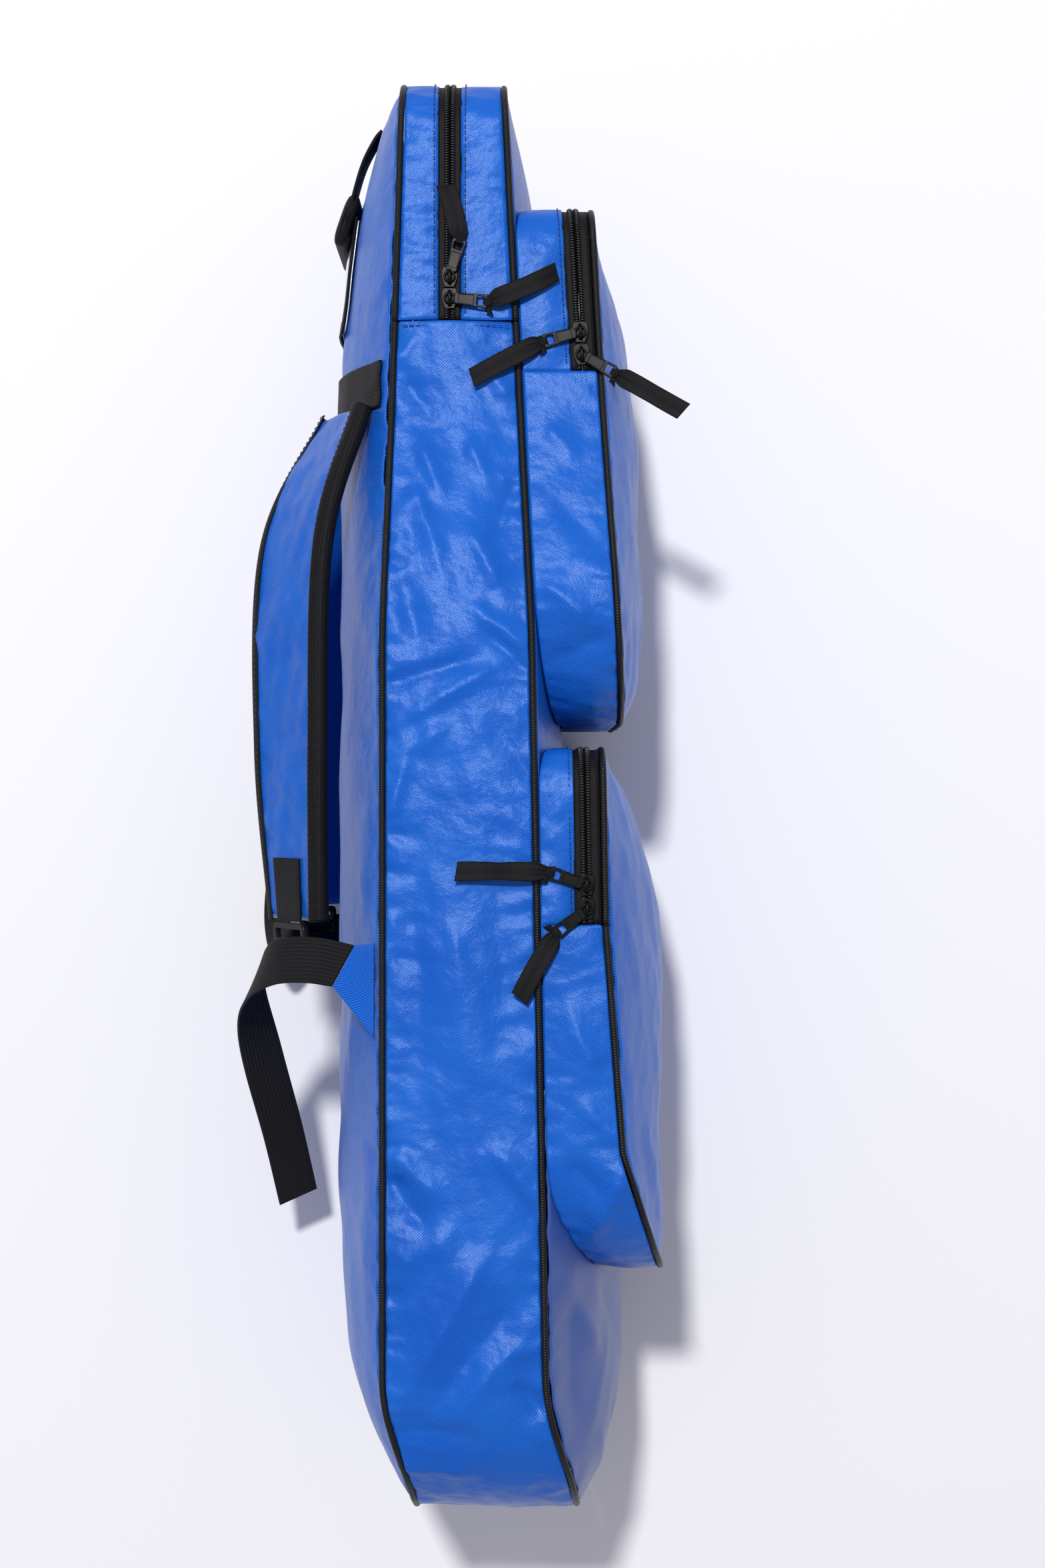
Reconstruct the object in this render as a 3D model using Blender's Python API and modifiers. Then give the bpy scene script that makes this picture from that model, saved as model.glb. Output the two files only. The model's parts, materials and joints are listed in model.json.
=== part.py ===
"""Racket tournament bag lying on its far side.

X runs from the back (negative) to the front (positive), Y from the racket-head end (negative) to the grip
end (positive), and Z across the bag's width. The origin is on the far side gusset, which rests on the ground.
"""
import math
from collections import namedtuple

import bmesh
import bpy
from mathutils import Matrix, Vector

# Main compartment, metres
BOTTOM_Y = -0.388
BAG_LENGTH = 0.778
HEAD_WIDTH = 0.285
GRIP_WIDTH = 0.236
TAPER_START_Y = BOTTOM_Y + 0.61440 * BAG_LENGTH
TAPER_END_Y = BOTTOM_Y + 0.78792 * BAG_LENGTH
BOTTOM_CORNER = 0.078
BOTTOM_SEAM_DEG = 45.0
TOP_CORNER = 0.028
REAR_SEAM_BASE = -0.041
REAR_SEAM_TOP = -0.0315
FRONT_SEAM_BASE = 0.049
FRONT_SEAM_TAPER = 0.040
FRONT_SEAM_TOP = 0.025
BACK_FACE_X = -0.070
BASE_BULGE = 0.042
FRONT_BULGE = 0.014
BASE_BULGE_END_Y = BOTTOM_Y + 0.24165 * BAG_LENGTH
FRONT_BULGE_START_Y = BOTTOM_Y + 0.56298 * BAG_LENGTH
BASE_SEAM_Y = BOTTOM_Y + 0.30591 * BAG_LENGTH
BACK_BOTTOM_FADE = 0.140
BACK_TOP_FADE = 0.170
BACK_TOP_ROUND = 0.020
BACK_TOP_SHARE = 0.3
FRONT_FADE = 0.085
BOTTOM_SHIFT = 0.016
BOTTOM_SHIFT_REACH = 0.085
DOME_POWER = 2.4

# Cloth, seams and clearances
CLOTH = 0.0015
SEAM_INSET = 0.0036
PIPING_RADIUS = 0.0016
PIPING_INSET = 0.0017
JOIN_GAP = 0.0003
POCKET_SEAT = 0.0011
BACK_SEAT = 0.0012
SKIN_LIFT = 0.0008

# Zips
ZIP_END_Y = BOTTOM_Y + 0.83033 * BAG_LENGTH
ZIP_LINE_X = -0.005
ZIP_HALF_WIDTH = 0.0060
ZIP_SPLIT = 0.00075
ZIP_TAPE = 0.0013
POCKET_ZIP_INSET = 0.0110

# Pockets
UPPER_BOTTOM_Y = BOTTOM_Y + 0.55270 * BAG_LENGTH
UPPER_TOP_Y = BOTTOM_Y + 0.91131 * BAG_LENGTH
UPPER_ZIP_END_Y = BOTTOM_Y + 0.79563 * BAG_LENGTH
UPPER_SEAM_BOTTOM = 0.089
UPPER_SEAM_ZIP = 0.077
UPPER_SEAM_TOP = 0.072
UPPER_FACE_X = 0.101
LOWER_BOTTOM_Y = BOTTOM_Y + 0.16967 * BAG_LENGTH
LOWER_TOP_Y = BOTTOM_Y + 0.53599 * BAG_LENGTH
LOWER_ZIP_END_Y = BOTTOM_Y + 0.41645 * BAG_LENGTH
LOWER_SEAM_BOTTOM = 0.111
LOWER_SEAM_CORNER = 0.088
LOWER_SEAM_ZIP = 0.079
LOWER_SEAM_TOP = 0.0774
LOWER_FACE_X = 0.1135
POCKET_BOTTOM_CORNER = 0.072
POCKET_TOP_CORNER = 0.020
POCKET_BOTTOM_FADE = 0.030
UPPER_TOP_FADE = 0.155
LOWER_TOP_FADE = 0.120

# Sliders, pull tabs and ribbons
SLIDER_LENGTH = 0.0110
SLIDER_WIDTH = 0.0085
SLIDER_PLATE = 0.0012
SLIDER_POST = 0.0009
CROWN_BAR = 0.0012
CROWN_WINDOW = 0.0042
KNUCKLE_WIDTH = 0.0034
KNUCKLE_RADIUS = 0.0021
KNUCKLE_BORE = 0.0012
PULL_LENGTH = 0.0180
PULL_WIDTH = 0.0080
PULL_THICKNESS = 0.0016
PULL_START = 0.0030
PULL_EYE = 0.0036
PULL_TAPER = 0.7
RIBBON_WIDTH = 0.0095
RIBBON_THICKNESS = 0.0008

# Webbing, handle, window and straps
WEBBING_WIDTH = 0.025
WEBBING = 0.0015
BAND_Y = BOTTOM_Y + 0.78856 * BAG_LENGTH
HANDLE_ROOT_Y = BOTTOM_Y + 0.97943 * BAG_LENGTH
HANDLE_LENGTH = 0.066
HANDLE_LEAN_DEG = 19.0
HANDLE_SPAN = 0.090
HANDLE_STRAP = 0.022
HANDLE_THICKNESS = 0.0032
HANDLE_LIFT = 0.0010
WINDOW_LOW_Y = BOTTOM_Y + 0.83805 * BAG_LENGTH
WINDOW_HIGH_Y = BOTTOM_Y + 0.92288 * BAG_LENGTH
WINDOW_WIDTH = 0.092
WINDOW_THICKNESS = 0.0010
PAD_THICKNESS = 0.009
PAD_END_Y = BOTTOM_Y + 0.41645 * BAG_LENGTH
TAB_TOP_Y = BOTTOM_Y + 0.46015 * BAG_LENGTH
LOCK_LENGTH = 0.026
LOCK_WIDTH = 0.033
LOCK_THICKNESS = 0.004
LOCK_RAIL = 0.0035
ANCHOR_TOP_Y = BOTTOM_Y + 0.40360 * BAG_LENGTH
ANCHOR_BOTTOM_Y = BOTTOM_Y + 0.33933 * BAG_LENGTH
ANCHOR_REACH = 0.0165
ANCHOR_DROP = 0.0105

# Height above the zip's end, the pull's angle from +X in degrees, the ribbon's bend and its length
MAIN_SLIDERS = ((0.0115, -6.0, 28.0, 0.041), (0.0230, 74.0, 30.0, 0.030))
UPPER_SLIDERS = ((0.0085, -33.0, 0.0, 0.043), (0.0205, 192.0, 12.0, 0.044))
LOWER_SLIDERS = ((0.0085, 217.0, 22.0, 0.040), (0.0210, 160.0, 18.0, 0.050))

STRAP_ROOT_Y = BAND_Y - WEBBING_WIDTH / 2 - 2 * JOIN_GAP
STRAP_BEND_Y = BOTTOM_Y + 0.67866 * BAG_LENGTH
STRAP_MIDDLE_Y = BOTTOM_Y + 0.53728 * BAG_LENGTH

# Strap stations down its length: Y, then X and the distance from the middle plane for each of its edges
STRAP_STATIONS = (
    (STRAP_ROOT_Y, -0.0462, 0.1075, -0.0716, 0.0475),
    (STRAP_BEND_Y, -0.0660, 0.1135, -0.1060, 0.0655),
    (STRAP_MIDDLE_Y, -0.0690, 0.1135, -0.1090, 0.0715),
    (PAD_END_Y, -0.0690, 0.1075, -0.1010, 0.0625),
)
# Adjuster webbing from the anchor to the loose end: X, then Y from the pad's end, then the distance from the
# middle plane, or for the far loose end the height above the ground
ADJUSTER_RISE = ((-0.0790, -0.0200, 0.1215), (-0.0990, -0.0220, 0.1075))
NEAR_TAIL = ((-0.1120, -0.0320, 0.0855), (-0.1180, -0.0510, 0.0525), (-0.1160, -0.0860, 0.0075),
             (-0.1090, -0.1340, -0.0385), (-0.1030, -0.1780, -0.0725))
FAR_TAIL = ((-0.1120, -0.0260, 0.0600), (-0.1190, -0.0060, 0.0360), (-0.1160, 0.0290, 0.0140),
            (-0.1100, 0.0790, 0.0040), (-0.1040, 0.1390, 0.0030))
ANCHOR_SIDE = (0.48, 0.88, 0.0)
RISE_SIDES = ((0.20, 0.98, 0.0), (0.10, 0.99, 0.0))
TAIL_SIDES = ((0.35, 0.94, 0.0), (0.62, 0.78, 0.0), (0.88, 0.48, 0.0), (0.90, 0.44, 0.0), (0.91, 0.41, 0.0))

TOP_Y = BOTTOM_Y + BAG_LENGTH
MID_Z = HEAD_WIDTH / 2
Shape = namedtuple("Shape", "bottom top bottom_corner top_corner")
MAIN = Shape(BOTTOM_Y, TOP_Y, BOTTOM_CORNER, TOP_CORNER)
UPPER = Shape(UPPER_BOTTOM_Y, UPPER_TOP_Y, POCKET_BOTTOM_CORNER, POCKET_TOP_CORNER)
LOWER = Shape(LOWER_BOTTOM_Y, LOWER_TOP_Y, POCKET_BOTTOM_CORNER, POCKET_TOP_CORNER)
ARC_STEPS = 8
END_STEPS = 4
TAPER_STEPS = 8
ROW_STEP = 0.045
PANEL_COLUMNS = 13
SKIN_COLUMNS = 21
SKIN_ROWS = 4
RIBBON_ROWS = 5
PAD_ROWS = 12
PAD_COLUMNS = 5
ADJUSTER_ROWS = 21
SEAM_STEPS = 4


# Outlines and curved faces

def along(y, stations):
    """The value at y on straight lines through (y, value) stations in rising order."""
    for (y0, v0), (y1, v1) in zip(stations, stations[1:]):
        if y <= y1:
            return v0 + (v1 - v0) * max(0.0, (y - y0) / (y1 - y0))
    return stations[-1][1]


def ease(f):
    """A smooth step from 0 to 1."""
    f = min(1.0, max(0.0, f))
    return f * f * (3 - 2 * f)


def fade(distance, reach):
    """0 at a seam, rising to 1 over a reach."""
    f = min(1.0, max(0.0, distance / reach))
    return 1 - (1 - f) ** 2


def half_width(y):
    """Half of the bag's width: full at the racket head, narrow at the grip end."""
    f = ease((y - TAPER_START_Y) / (TAPER_END_Y - TAPER_START_Y))
    return (HEAD_WIDTH + f * (GRIP_WIDTH - HEAD_WIDTH)) / 2


def edge(shape, y, inset=0.0):
    """Distance from the bag's middle plane to a shape's edge, with its corners rounded."""
    w = half_width(y) - inset
    below = shape.bottom + shape.bottom_corner - y
    above = y - shape.top + shape.top_corner
    for drop, radius in ((below, shape.bottom_corner), (above, shape.top_corner)):
        if drop > 0:
            r = radius - inset
            w -= r - math.sqrt(max(0.0, r * r - drop * drop))
    return w


def dome(shape, y, dz):
    """Pillow height from 0 at a shape's side edges to 1 in the middle."""
    return 1 - min(1.0, abs(dz) / edge(shape, y)) ** DOME_POWER


def end_shift(y):
    """How far the soft bottom end has slumped towards the front."""
    return BOTTOM_SHIFT * (1 - ease((y - BOTTOM_Y) / BOTTOM_SHIFT_REACH))


def rear_seam(y):
    line = ((BOTTOM_Y, REAR_SEAM_BASE), (TAPER_START_Y, REAR_SEAM_BASE), (TOP_Y, REAR_SEAM_TOP))
    return along(y, line) + end_shift(y)


def front_seam(y):
    line = ((BOTTOM_Y, FRONT_SEAM_BASE), (TAPER_START_Y, FRONT_SEAM_TAPER), (TOP_Y, FRONT_SEAM_TOP))
    return along(y, line) + end_shift(y)


def back_face(y, dz):
    """X of the back panel's outer face: a short round at the top edge, then a long slope."""
    top = BACK_TOP_SHARE * fade(TOP_Y - y, BACK_TOP_ROUND) + (1 - BACK_TOP_SHARE) * fade(TOP_Y - y, BACK_TOP_FADE)
    ends = fade(y - BOTTOM_Y, BACK_BOTTOM_FADE) * top
    seat = rear_seam(y) + BACK_SEAT * (1 - ends)
    return seat + (BACK_FACE_X - seat) * ends * dome(MAIN, y, dz)


def front_face(y, dz):
    """X of the front panel's outer face."""
    bulge = along(y, ((BASE_BULGE_END_Y, BASE_BULGE), (FRONT_BULGE_START_Y, FRONT_BULGE)))
    bulge *= fade(y - BOTTOM_Y, FRONT_FADE) * fade(TOP_Y - y, FRONT_FADE)
    return front_seam(y) + bulge * dome(MAIN, y, dz)


def upper_seam(y):
    return along(y, ((UPPER_BOTTOM_Y, UPPER_SEAM_BOTTOM), (UPPER_ZIP_END_Y, UPPER_SEAM_ZIP),
                     (UPPER_TOP_Y, UPPER_SEAM_TOP)))


def lower_seam(y):
    return along(y, ((LOWER_BOTTOM_Y, LOWER_SEAM_BOTTOM),
                     (LOWER_BOTTOM_Y + POCKET_BOTTOM_CORNER, LOWER_SEAM_CORNER),
                     (LOWER_ZIP_END_Y, LOWER_SEAM_ZIP), (LOWER_TOP_Y, LOWER_SEAM_TOP)))


def pocket_face(shape, seam, crown, top_fade):
    """A function for X of a pocket panel's outer face, given the X that its middle reaches."""
    def face(y, dz):
        ends = fade(y - shape.bottom, POCKET_BOTTOM_FADE) * fade(shape.top - y, top_fade)
        return seam(y) + (crown - seam(y)) * ends * dome(shape, y, dz)
    return face


upper_face = pocket_face(UPPER, upper_seam, UPPER_FACE_X, UPPER_TOP_FADE)
lower_face = pocket_face(LOWER, lower_seam, LOWER_FACE_X, LOWER_TOP_FADE)


def stations(low, high):
    """Heights from low to high that meet the taper at the same places in every piece."""
    taper = [TAPER_START_Y + (TAPER_END_Y - TAPER_START_Y) * i / TAPER_STEPS for i in range(TAPER_STEPS + 1)]
    marks = [low] + [y for y in taper if low + SEAM_INSET < y < high - SEAM_INSET] + [high]
    found = [low]
    for start, end in zip(marks, marks[1:]):
        count = max(1, round((end - start) / ROW_STEP))
        found += [start + (end - start) * i / count for i in range(1, count + 1)]
    return found


def rows(shape, low, high):
    """Y stations of a panel between two heights: even on the straight sides, by angle round the corners."""
    straight_low = max(low, shape.bottom + shape.bottom_corner)
    straight_high = min(high, shape.top - shape.top_corner)
    found = stations(straight_low, straight_high)
    for i in range(1, ARC_STEPS + 1):
        rise = math.sin(math.radians(90 * i / ARC_STEPS))
        if low < shape.bottom + shape.bottom_corner:
            found.append(straight_low - (shape.bottom_corner - SEAM_INSET) * rise)
        if high > shape.top - shape.top_corner:
            found.append(straight_high + (shape.top_corner - SEAM_INSET) * rise)
    return sorted(found)


def side_run(shape, low, high, inset=0.0):
    """Points (y, dz) up the near side of a shape."""
    return [(y, edge(shape, y, inset)) for y in stations(low, high)]


def arc_point(shape, at_top, degrees, inset=0.0):
    """A point (y, dz) on a near corner, at an angle from the side."""
    radius = (shape.top_corner if at_top else shape.bottom_corner) - inset
    centre = shape.top - shape.top_corner if at_top else shape.bottom + shape.bottom_corner
    a = math.radians(degrees)
    y = centre + (1 if at_top else -1) * radius * math.sin(a)
    return y, half_width(y) - inset - radius + radius * math.cos(a)


def arc(shape, at_top, inset=0.0, first=0.0):
    """Points round a near corner and half of the end, from an angle past the side to the middle plane."""
    points = [arc_point(shape, at_top, first, inset)] if first else []
    angles = [90 * i / ARC_STEPS for i in range(1, ARC_STEPS + 1)]
    points += [arc_point(shape, at_top, a, inset) for a in angles if a > first]
    y, reach = points[-1]
    return points + [(y, reach * i / END_STEPS) for i in range(END_STEPS - 1, 0, -1)]


def far(points):
    """The same run on the far side, in reverse order."""
    return [(y, -dz) for y, dz in reversed(points)]


def over_top(shape, start, inset=0.0):
    """A run from the near side at a height, over the top end, to the far side."""
    near = side_run(shape, start, shape.top - shape.top_corner, inset) + arc(shape, True, inset)
    return near + far(near)


def round_bottom(shape, start, inset=0.0):
    """A run from the near side at a height, down round the bottom end, to the far side."""
    near = side_run(shape, shape.bottom + shape.bottom_corner, start, inset)[::-1] + arc(shape, False, inset)
    return near + far(near)


# Solids

def material(name, colour, roughness, metallic=0.0):
    m = bpy.data.materials.new(name)
    m.use_nodes = True
    shader = m.node_tree.nodes["Principled BSDF"]
    shader.inputs["Base Color"].default_value = (*colour, 1.0)
    shader.inputs["Roughness"].default_value = roughness
    shader.inputs["Metallic"].default_value = metallic
    return m


def add(name, data, finish, parent=None):
    """Put a piece in the bag's collection, carried by an empty where it moves."""
    item = bpy.data.objects.new(name, data)
    data.materials.append(finish)
    parts.objects.link(item)
    if parent:
        item.parent = parent
        item.matrix_parent_inverse = joint_place[parent.name].inverted()
    return item


def joint(name, place, parent=None):
    """An empty on a joint's axis."""
    empty = bpy.data.objects.new(name, None)
    empty.empty_display_size = 0.01
    parts.objects.link(empty)
    joint_place[name] = place
    if parent:
        empty.parent = parent
        empty.matrix_parent_inverse = joint_place[parent.name].inverted()
    empty.matrix_basis = place
    print(name, [round(v, 5) for v in place.translation])
    return empty


def sheet(name, grid, thickness, finish, outward=None, parent=None, closed=False):
    """A closed sheet from rows of points, thickened inwards, or to both sides where no outward is given."""
    count, across = len(grid), len(grid[0])
    bm = bmesh.new()
    bmesh.ops.create_grid(bm, x_segments=across - 1, y_segments=count - 1, size=1.0)
    for v in bm.verts:
        row = round((v.co.y + 1) / 2 * (count - 1))
        column = round((v.co.x + 1) / 2 * (across - 1))
        v.co = grid[row][column]
    if closed:
        bmesh.ops.remove_doubles(bm, verts=bm.verts, dist=1e-6)
    bm.normal_update()
    if outward and sum(f.normal.dot(outward(f.calc_center_median())) for f in bm.faces) < 0:
        bmesh.ops.reverse_faces(bm, faces=bm.faces)
    mesh = bpy.data.meshes.new(name)
    bm.to_mesh(mesh)
    bm.free()
    item = add(name, mesh, finish, parent)
    solid = item.modifiers.new("thickness", "SOLIDIFY")
    solid.thickness = thickness
    solid.offset = -1.0 if outward else 0.0
    return item


def backwards(point):
    return Vector((-1, 0, 0))


def forwards(point):
    return Vector((1, 0, 0))


def off_axis(point):
    """Away from a line along X through the middle of the bag."""
    middle = min(max(point.y, BOTTOM_Y + HEAD_WIDTH / 2), TOP_Y - GRIP_WIDTH / 2)
    return Vector((0, point.y - middle, point.z - MID_Z))


def panel(name, shape, low, high, face, finish, outward, parent=None):
    """A pillow-shaped panel between two heights."""
    grid = []
    for y in rows(shape, low, high):
        w = edge(shape, y, SEAM_INSET)
        steps = [w * (2 * c / (PANEL_COLUMNS - 1) - 1) for c in range(PANEL_COLUMNS)]
        grid.append([Vector((face(y, dz), y, MID_Z + dz)) for dz in steps])
    return sheet(name, grid, CLOTH, finish, outward, parent)


def strip(name, path, rear, front, finish, thickness=CLOTH, parent=None, closed=False, outward=off_axis):
    """A wall that follows a run of (y, dz), from a rear X to a front X, each a function of y and dz."""
    grid = [[Vector((x(y, dz), y, MID_Z + dz)) for x in (rear, front)] for y, dz in path]
    return sheet(name, grid, thickness, finish, outward, parent, closed)


def tube(name, path, x, radius, finish, parent=None, closed=False):
    """Piping along a run of (y, dz) at an X."""
    curve = bpy.data.curves.new(name, "CURVE")
    curve.dimensions = "3D"
    spline = curve.splines.new("POLY")
    spline.points.add(len(path) - 1)
    for p, (y, dz) in zip(spline.points, path):
        p.co = (x(y), y, MID_Z + dz, 1.0)
    spline.use_cyclic_u = closed
    curve.bevel_depth = radius
    curve.bevel_resolution = 1
    curve.use_fill_caps = True
    return add(name, curve, finish, parent)


def plate_mesh(loops, thickness, place):
    """A flat plate with holes: the first loop is its outline, the others its holes."""
    curve = bpy.data.curves.new("outline", "CURVE")
    curve.dimensions = "2D"
    curve.fill_mode = "BOTH"
    curve.extrude = thickness / 2
    for loop in loops:
        spline = curve.splines.new("POLY")
        spline.points.add(len(loop) - 1)
        for p, (x, y) in zip(spline.points, loop):
            p.co = (x, y, 0.0, 1.0)
        spline.use_cyclic_u = True
    item = bpy.data.objects.new("outline", curve)
    bpy.context.scene.collection.objects.link(item)
    bpy.context.view_layer.update()
    mesh = bpy.data.meshes.new_from_object(item.evaluated_get(bpy.context.evaluated_depsgraph_get()))
    bpy.data.objects.remove(item)
    bm = bmesh.new()
    bm.from_mesh(mesh)
    bmesh.ops.remove_doubles(bm, verts=bm.verts, dist=1e-6)
    bmesh.ops.recalc_face_normals(bm, faces=bm.faces)
    bm.to_mesh(mesh)
    bm.free()
    mesh.transform(place)
    return mesh


def union(item, mesh, solver="EXACT"):
    """Join another closed mesh to a piece."""
    cutter = bpy.data.objects.new(item.name + "_joined", mesh)
    cutter.hide_render = True
    cutter.display_type = "WIRE"
    cutters.objects.link(cutter)
    step = item.modifiers.new("join", "BOOLEAN")
    step.operation = "UNION"
    step.solver = solver
    step.object = cutter


def rectangle(x0, y0, x1, y1):
    return [(x0, y0), (x1, y0), (x1, y1), (x0, y1)]


def round_loop(radius, count=12):
    return [(radius * math.cos(2 * math.pi * i / count), radius * math.sin(2 * math.pi * i / count))
            for i in range(count)]


def between(stations, f):
    """A point on a smooth curve through stations, at f from 0 to 1."""
    n = len(stations) - 1
    i = min(n - 1, int(f * n))
    t = f * n - i
    p = [Vector(stations[min(n, max(0, i + k))]) for k in (-1, 0, 1, 2)]
    return 0.5 * (2 * p[1] + (p[2] - p[0]) * t + (2 * p[0] - 5 * p[1] + 4 * p[2] - p[3]) * t * t
                  + (3 * p[1] - p[0] - 3 * p[2] + p[3]) * t ** 3)


# Main compartment

def main_compartment():
    zip_low, zip_high = ZIP_END_Y - JOIN_GAP, ZIP_END_Y + JOIN_GAP
    side_low = BOTTOM_Y + BOTTOM_CORNER
    bottom, top = BOTTOM_Y + SEAM_INSET, TOP_Y - SEAM_INSET
    panel("back_panel", MAIN, bottom, zip_low, back_face, blue, backwards)
    panel("base_panel", MAIN, bottom, BASE_SEAM_Y - JOIN_GAP, front_face, coated, forwards)
    panel("front_panel", MAIN, BASE_SEAM_Y + JOIN_GAP, top, front_face, blue, forwards)

    def rear(y, dz=0):
        return rear_seam(y) + SEAM_INSET

    def front(y, dz=0):
        return front_seam(y) - SEAM_INSET

    gap_deg = math.degrees(JOIN_GAP / BOTTOM_CORNER)
    seam_deg = BOTTOM_SEAM_DEG - gap_deg
    corner = [arc_point(MAIN, False, seam_deg * (1 - i / SEAM_STEPS)) for i in range(SEAM_STEPS)]
    side = corner + side_run(MAIN, side_low, zip_low)
    strip("side_gusset_near", side, rear, front, blue)
    strip("side_gusset_far", far(side), rear, front, blue)
    bottom_run = arc(MAIN, False, first=BOTTOM_SEAM_DEG + gap_deg)
    strip("bottom_gusset", bottom_run + far(bottom_run), rear, front, blue)

    def zip_x(offset):
        return lambda y, dz: ZIP_LINE_X + offset

    run = over_top(MAIN, zip_high)
    strip("zip_strip_front", run, zip_x(ZIP_HALF_WIDTH + JOIN_GAP), front, blue)
    strip("main_zip_front", run, zip_x(ZIP_SPLIT), zip_x(ZIP_HALF_WIDTH), zip_black, ZIP_TAPE)
    tube("rear_piping", round_bottom(MAIN, zip_low, PIPING_INSET), lambda y: rear_seam(y) + PIPING_INSET,
         PIPING_RADIUS, trim_black)
    loop = round_bottom(MAIN, zip_low, PIPING_INSET) + over_top(MAIN, zip_low, PIPING_INSET)[::-1][1:-1]
    tube("front_piping", loop, lambda y: front_seam(y) - PIPING_INSET, PIPING_RADIUS, trim_black, closed=True)

    hinge = Vector((back_face(ZIP_END_Y, 0.0), ZIP_END_Y, MID_Z))
    flap = joint("rear_flap_hinge", Matrix.Translation(hinge))
    panel("back_panel_top", MAIN, zip_high, top, back_face, blue, backwards, flap)
    strip("zip_strip_rear", run, rear, zip_x(-ZIP_HALF_WIDTH - JOIN_GAP), blue, parent=flap)
    strip("main_zip_rear", run, zip_x(-ZIP_HALF_WIDTH), zip_x(-ZIP_SPLIT), zip_black, ZIP_TAPE, flap)
    tube("rear_piping_top", over_top(MAIN, zip_high, PIPING_INSET), lambda y: rear_seam(y) + PIPING_INSET,
         PIPING_RADIUS, trim_black, flap)
    skin("id_window", WINDOW_LOW_Y, WINDOW_HIGH_Y, WINDOW_WIDTH / 2, WINDOW_THICKNESS, clear, flap)
    grab_handle(flap)
    edge_z = half_width(BAND_Y) - SEAM_INSET - 2 * PIPING_RADIUS
    skin("back_band", BAND_Y - WEBBING_WIDTH / 2, BAND_Y + WEBBING_WIDTH / 2, edge_z, WEBBING, trim_black)


def skin(name, low, high, reach, thickness, finish, parent=None):
    """A sheet that lies on the back panel."""
    ys = [low + (high - low) * i / (SKIN_ROWS - 1) for i in range(SKIN_ROWS)]
    steps = [reach * (2 * c / (SKIN_COLUMNS - 1) - 1) for c in range(SKIN_COLUMNS)]
    lift = SKIN_LIFT + thickness
    grid = [[Vector((back_face(y, dz) - lift * tilt(y, dz), y, MID_Z + dz)) for dz in steps] for y in ys]
    return sheet(name, grid, thickness, finish, backwards, parent)


def tilt(y, dz):
    """How much further along X a given clearance reaches where the back panel slopes."""
    step = 0.001
    slope = (back_face(y, dz + step) - back_face(y, dz - step)) / (2 * step)
    return math.sqrt(1 + slope * slope)


def grab_handle(flap):
    """A webbing loop with both ends sewn near the top of the back, hanging from its sewn ends."""
    outer, inner = HANDLE_SPAN / 2, HANDLE_SPAN / 2 - HANDLE_STRAP
    length = HANDLE_LENGTH
    lean = math.radians(HANDLE_LEAN_DEG)
    stand_off = HANDLE_LIFT + HANDLE_THICKNESS / 2 / math.cos(lean)
    root = Vector((back_face(HANDLE_ROOT_Y, inner) - stand_off, HANDLE_ROOT_Y, MID_Z))
    pivot = joint("grab_handle_hinge", Matrix.Translation(root), flap)
    loop = [(-outer, 0.0), (-inner, 0.0)]
    loop += [(-inner, length - 2 * HANDLE_STRAP), (-inner / 2, length - HANDLE_STRAP)]
    loop += [(inner / 2, length - HANDLE_STRAP), (inner, length - 2 * HANDLE_STRAP)]
    loop += [(inner, 0.0), (outer, 0.0), (outer, length - HANDLE_STRAP), (inner, length)]
    loop += [(-inner, length), (-outer, length - HANDLE_STRAP)]
    axes = Matrix((Vector((0, 0, 1)), Vector((-math.sin(lean), -math.cos(lean), 0)),
                   Vector((math.cos(lean), -math.sin(lean), 0)))).transposed().to_4x4()
    mesh = plate_mesh([loop], HANDLE_THICKNESS, Matrix.Translation(root) @ axes)
    add("grab_handle", mesh, trim_black, pivot)


# Front pockets

def pocket(name, shape, seam, face, zip_end):
    """A zipped front pocket with a flap that the zip frees."""
    low, high = zip_end - JOIN_GAP, zip_end + JOIN_GAP

    def zip_x(offset):
        return lambda y, dz: seam(y) - POCKET_ZIP_INSET + offset

    def back(y, dz):
        return front_face(y, dz) + POCKET_SEAT

    def front(y, dz):
        if y < zip_end:
            return seam(y) - SEAM_INSET - POCKET_SEAT
        return zip_x(-ZIP_HALF_WIDTH - JOIN_GAP)(y, dz)

    above, below = over_top(shape, high)[::-1], round_bottom(shape, low)
    strip(name + "_gusset", below + above + below[:1], back, front, blue, closed=True)
    panel(name + "_panel", shape, shape.bottom + SEAM_INSET, low, face, blue, forwards)
    strip(name + "_zip_inner", above, zip_x(-ZIP_HALF_WIDTH), zip_x(-ZIP_SPLIT), zip_black, ZIP_TAPE)

    def pipe_x(y):
        return seam(y) - PIPING_INSET

    tube(name + "_piping", round_bottom(shape, low, PIPING_INSET), pipe_x, PIPING_RADIUS, trim_black)
    hinge = Vector((face(zip_end, 0.0), zip_end, MID_Z))
    flap = joint(name + "_flap_hinge", Matrix.Translation(hinge))
    panel(name + "_flap", shape, high, shape.top - SEAM_INSET, face, blue, forwards, flap)
    strip(name + "_zip_outer", above, zip_x(ZIP_SPLIT), lambda y, dz: seam(y) - SEAM_INSET, zip_black,
          ZIP_TAPE, flap)
    tube(name + "_flap_piping", over_top(shape, high, PIPING_INSET), pipe_x, PIPING_RADIUS, trim_black, flap)


# Zip sliders, pull tabs and ribbons

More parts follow.
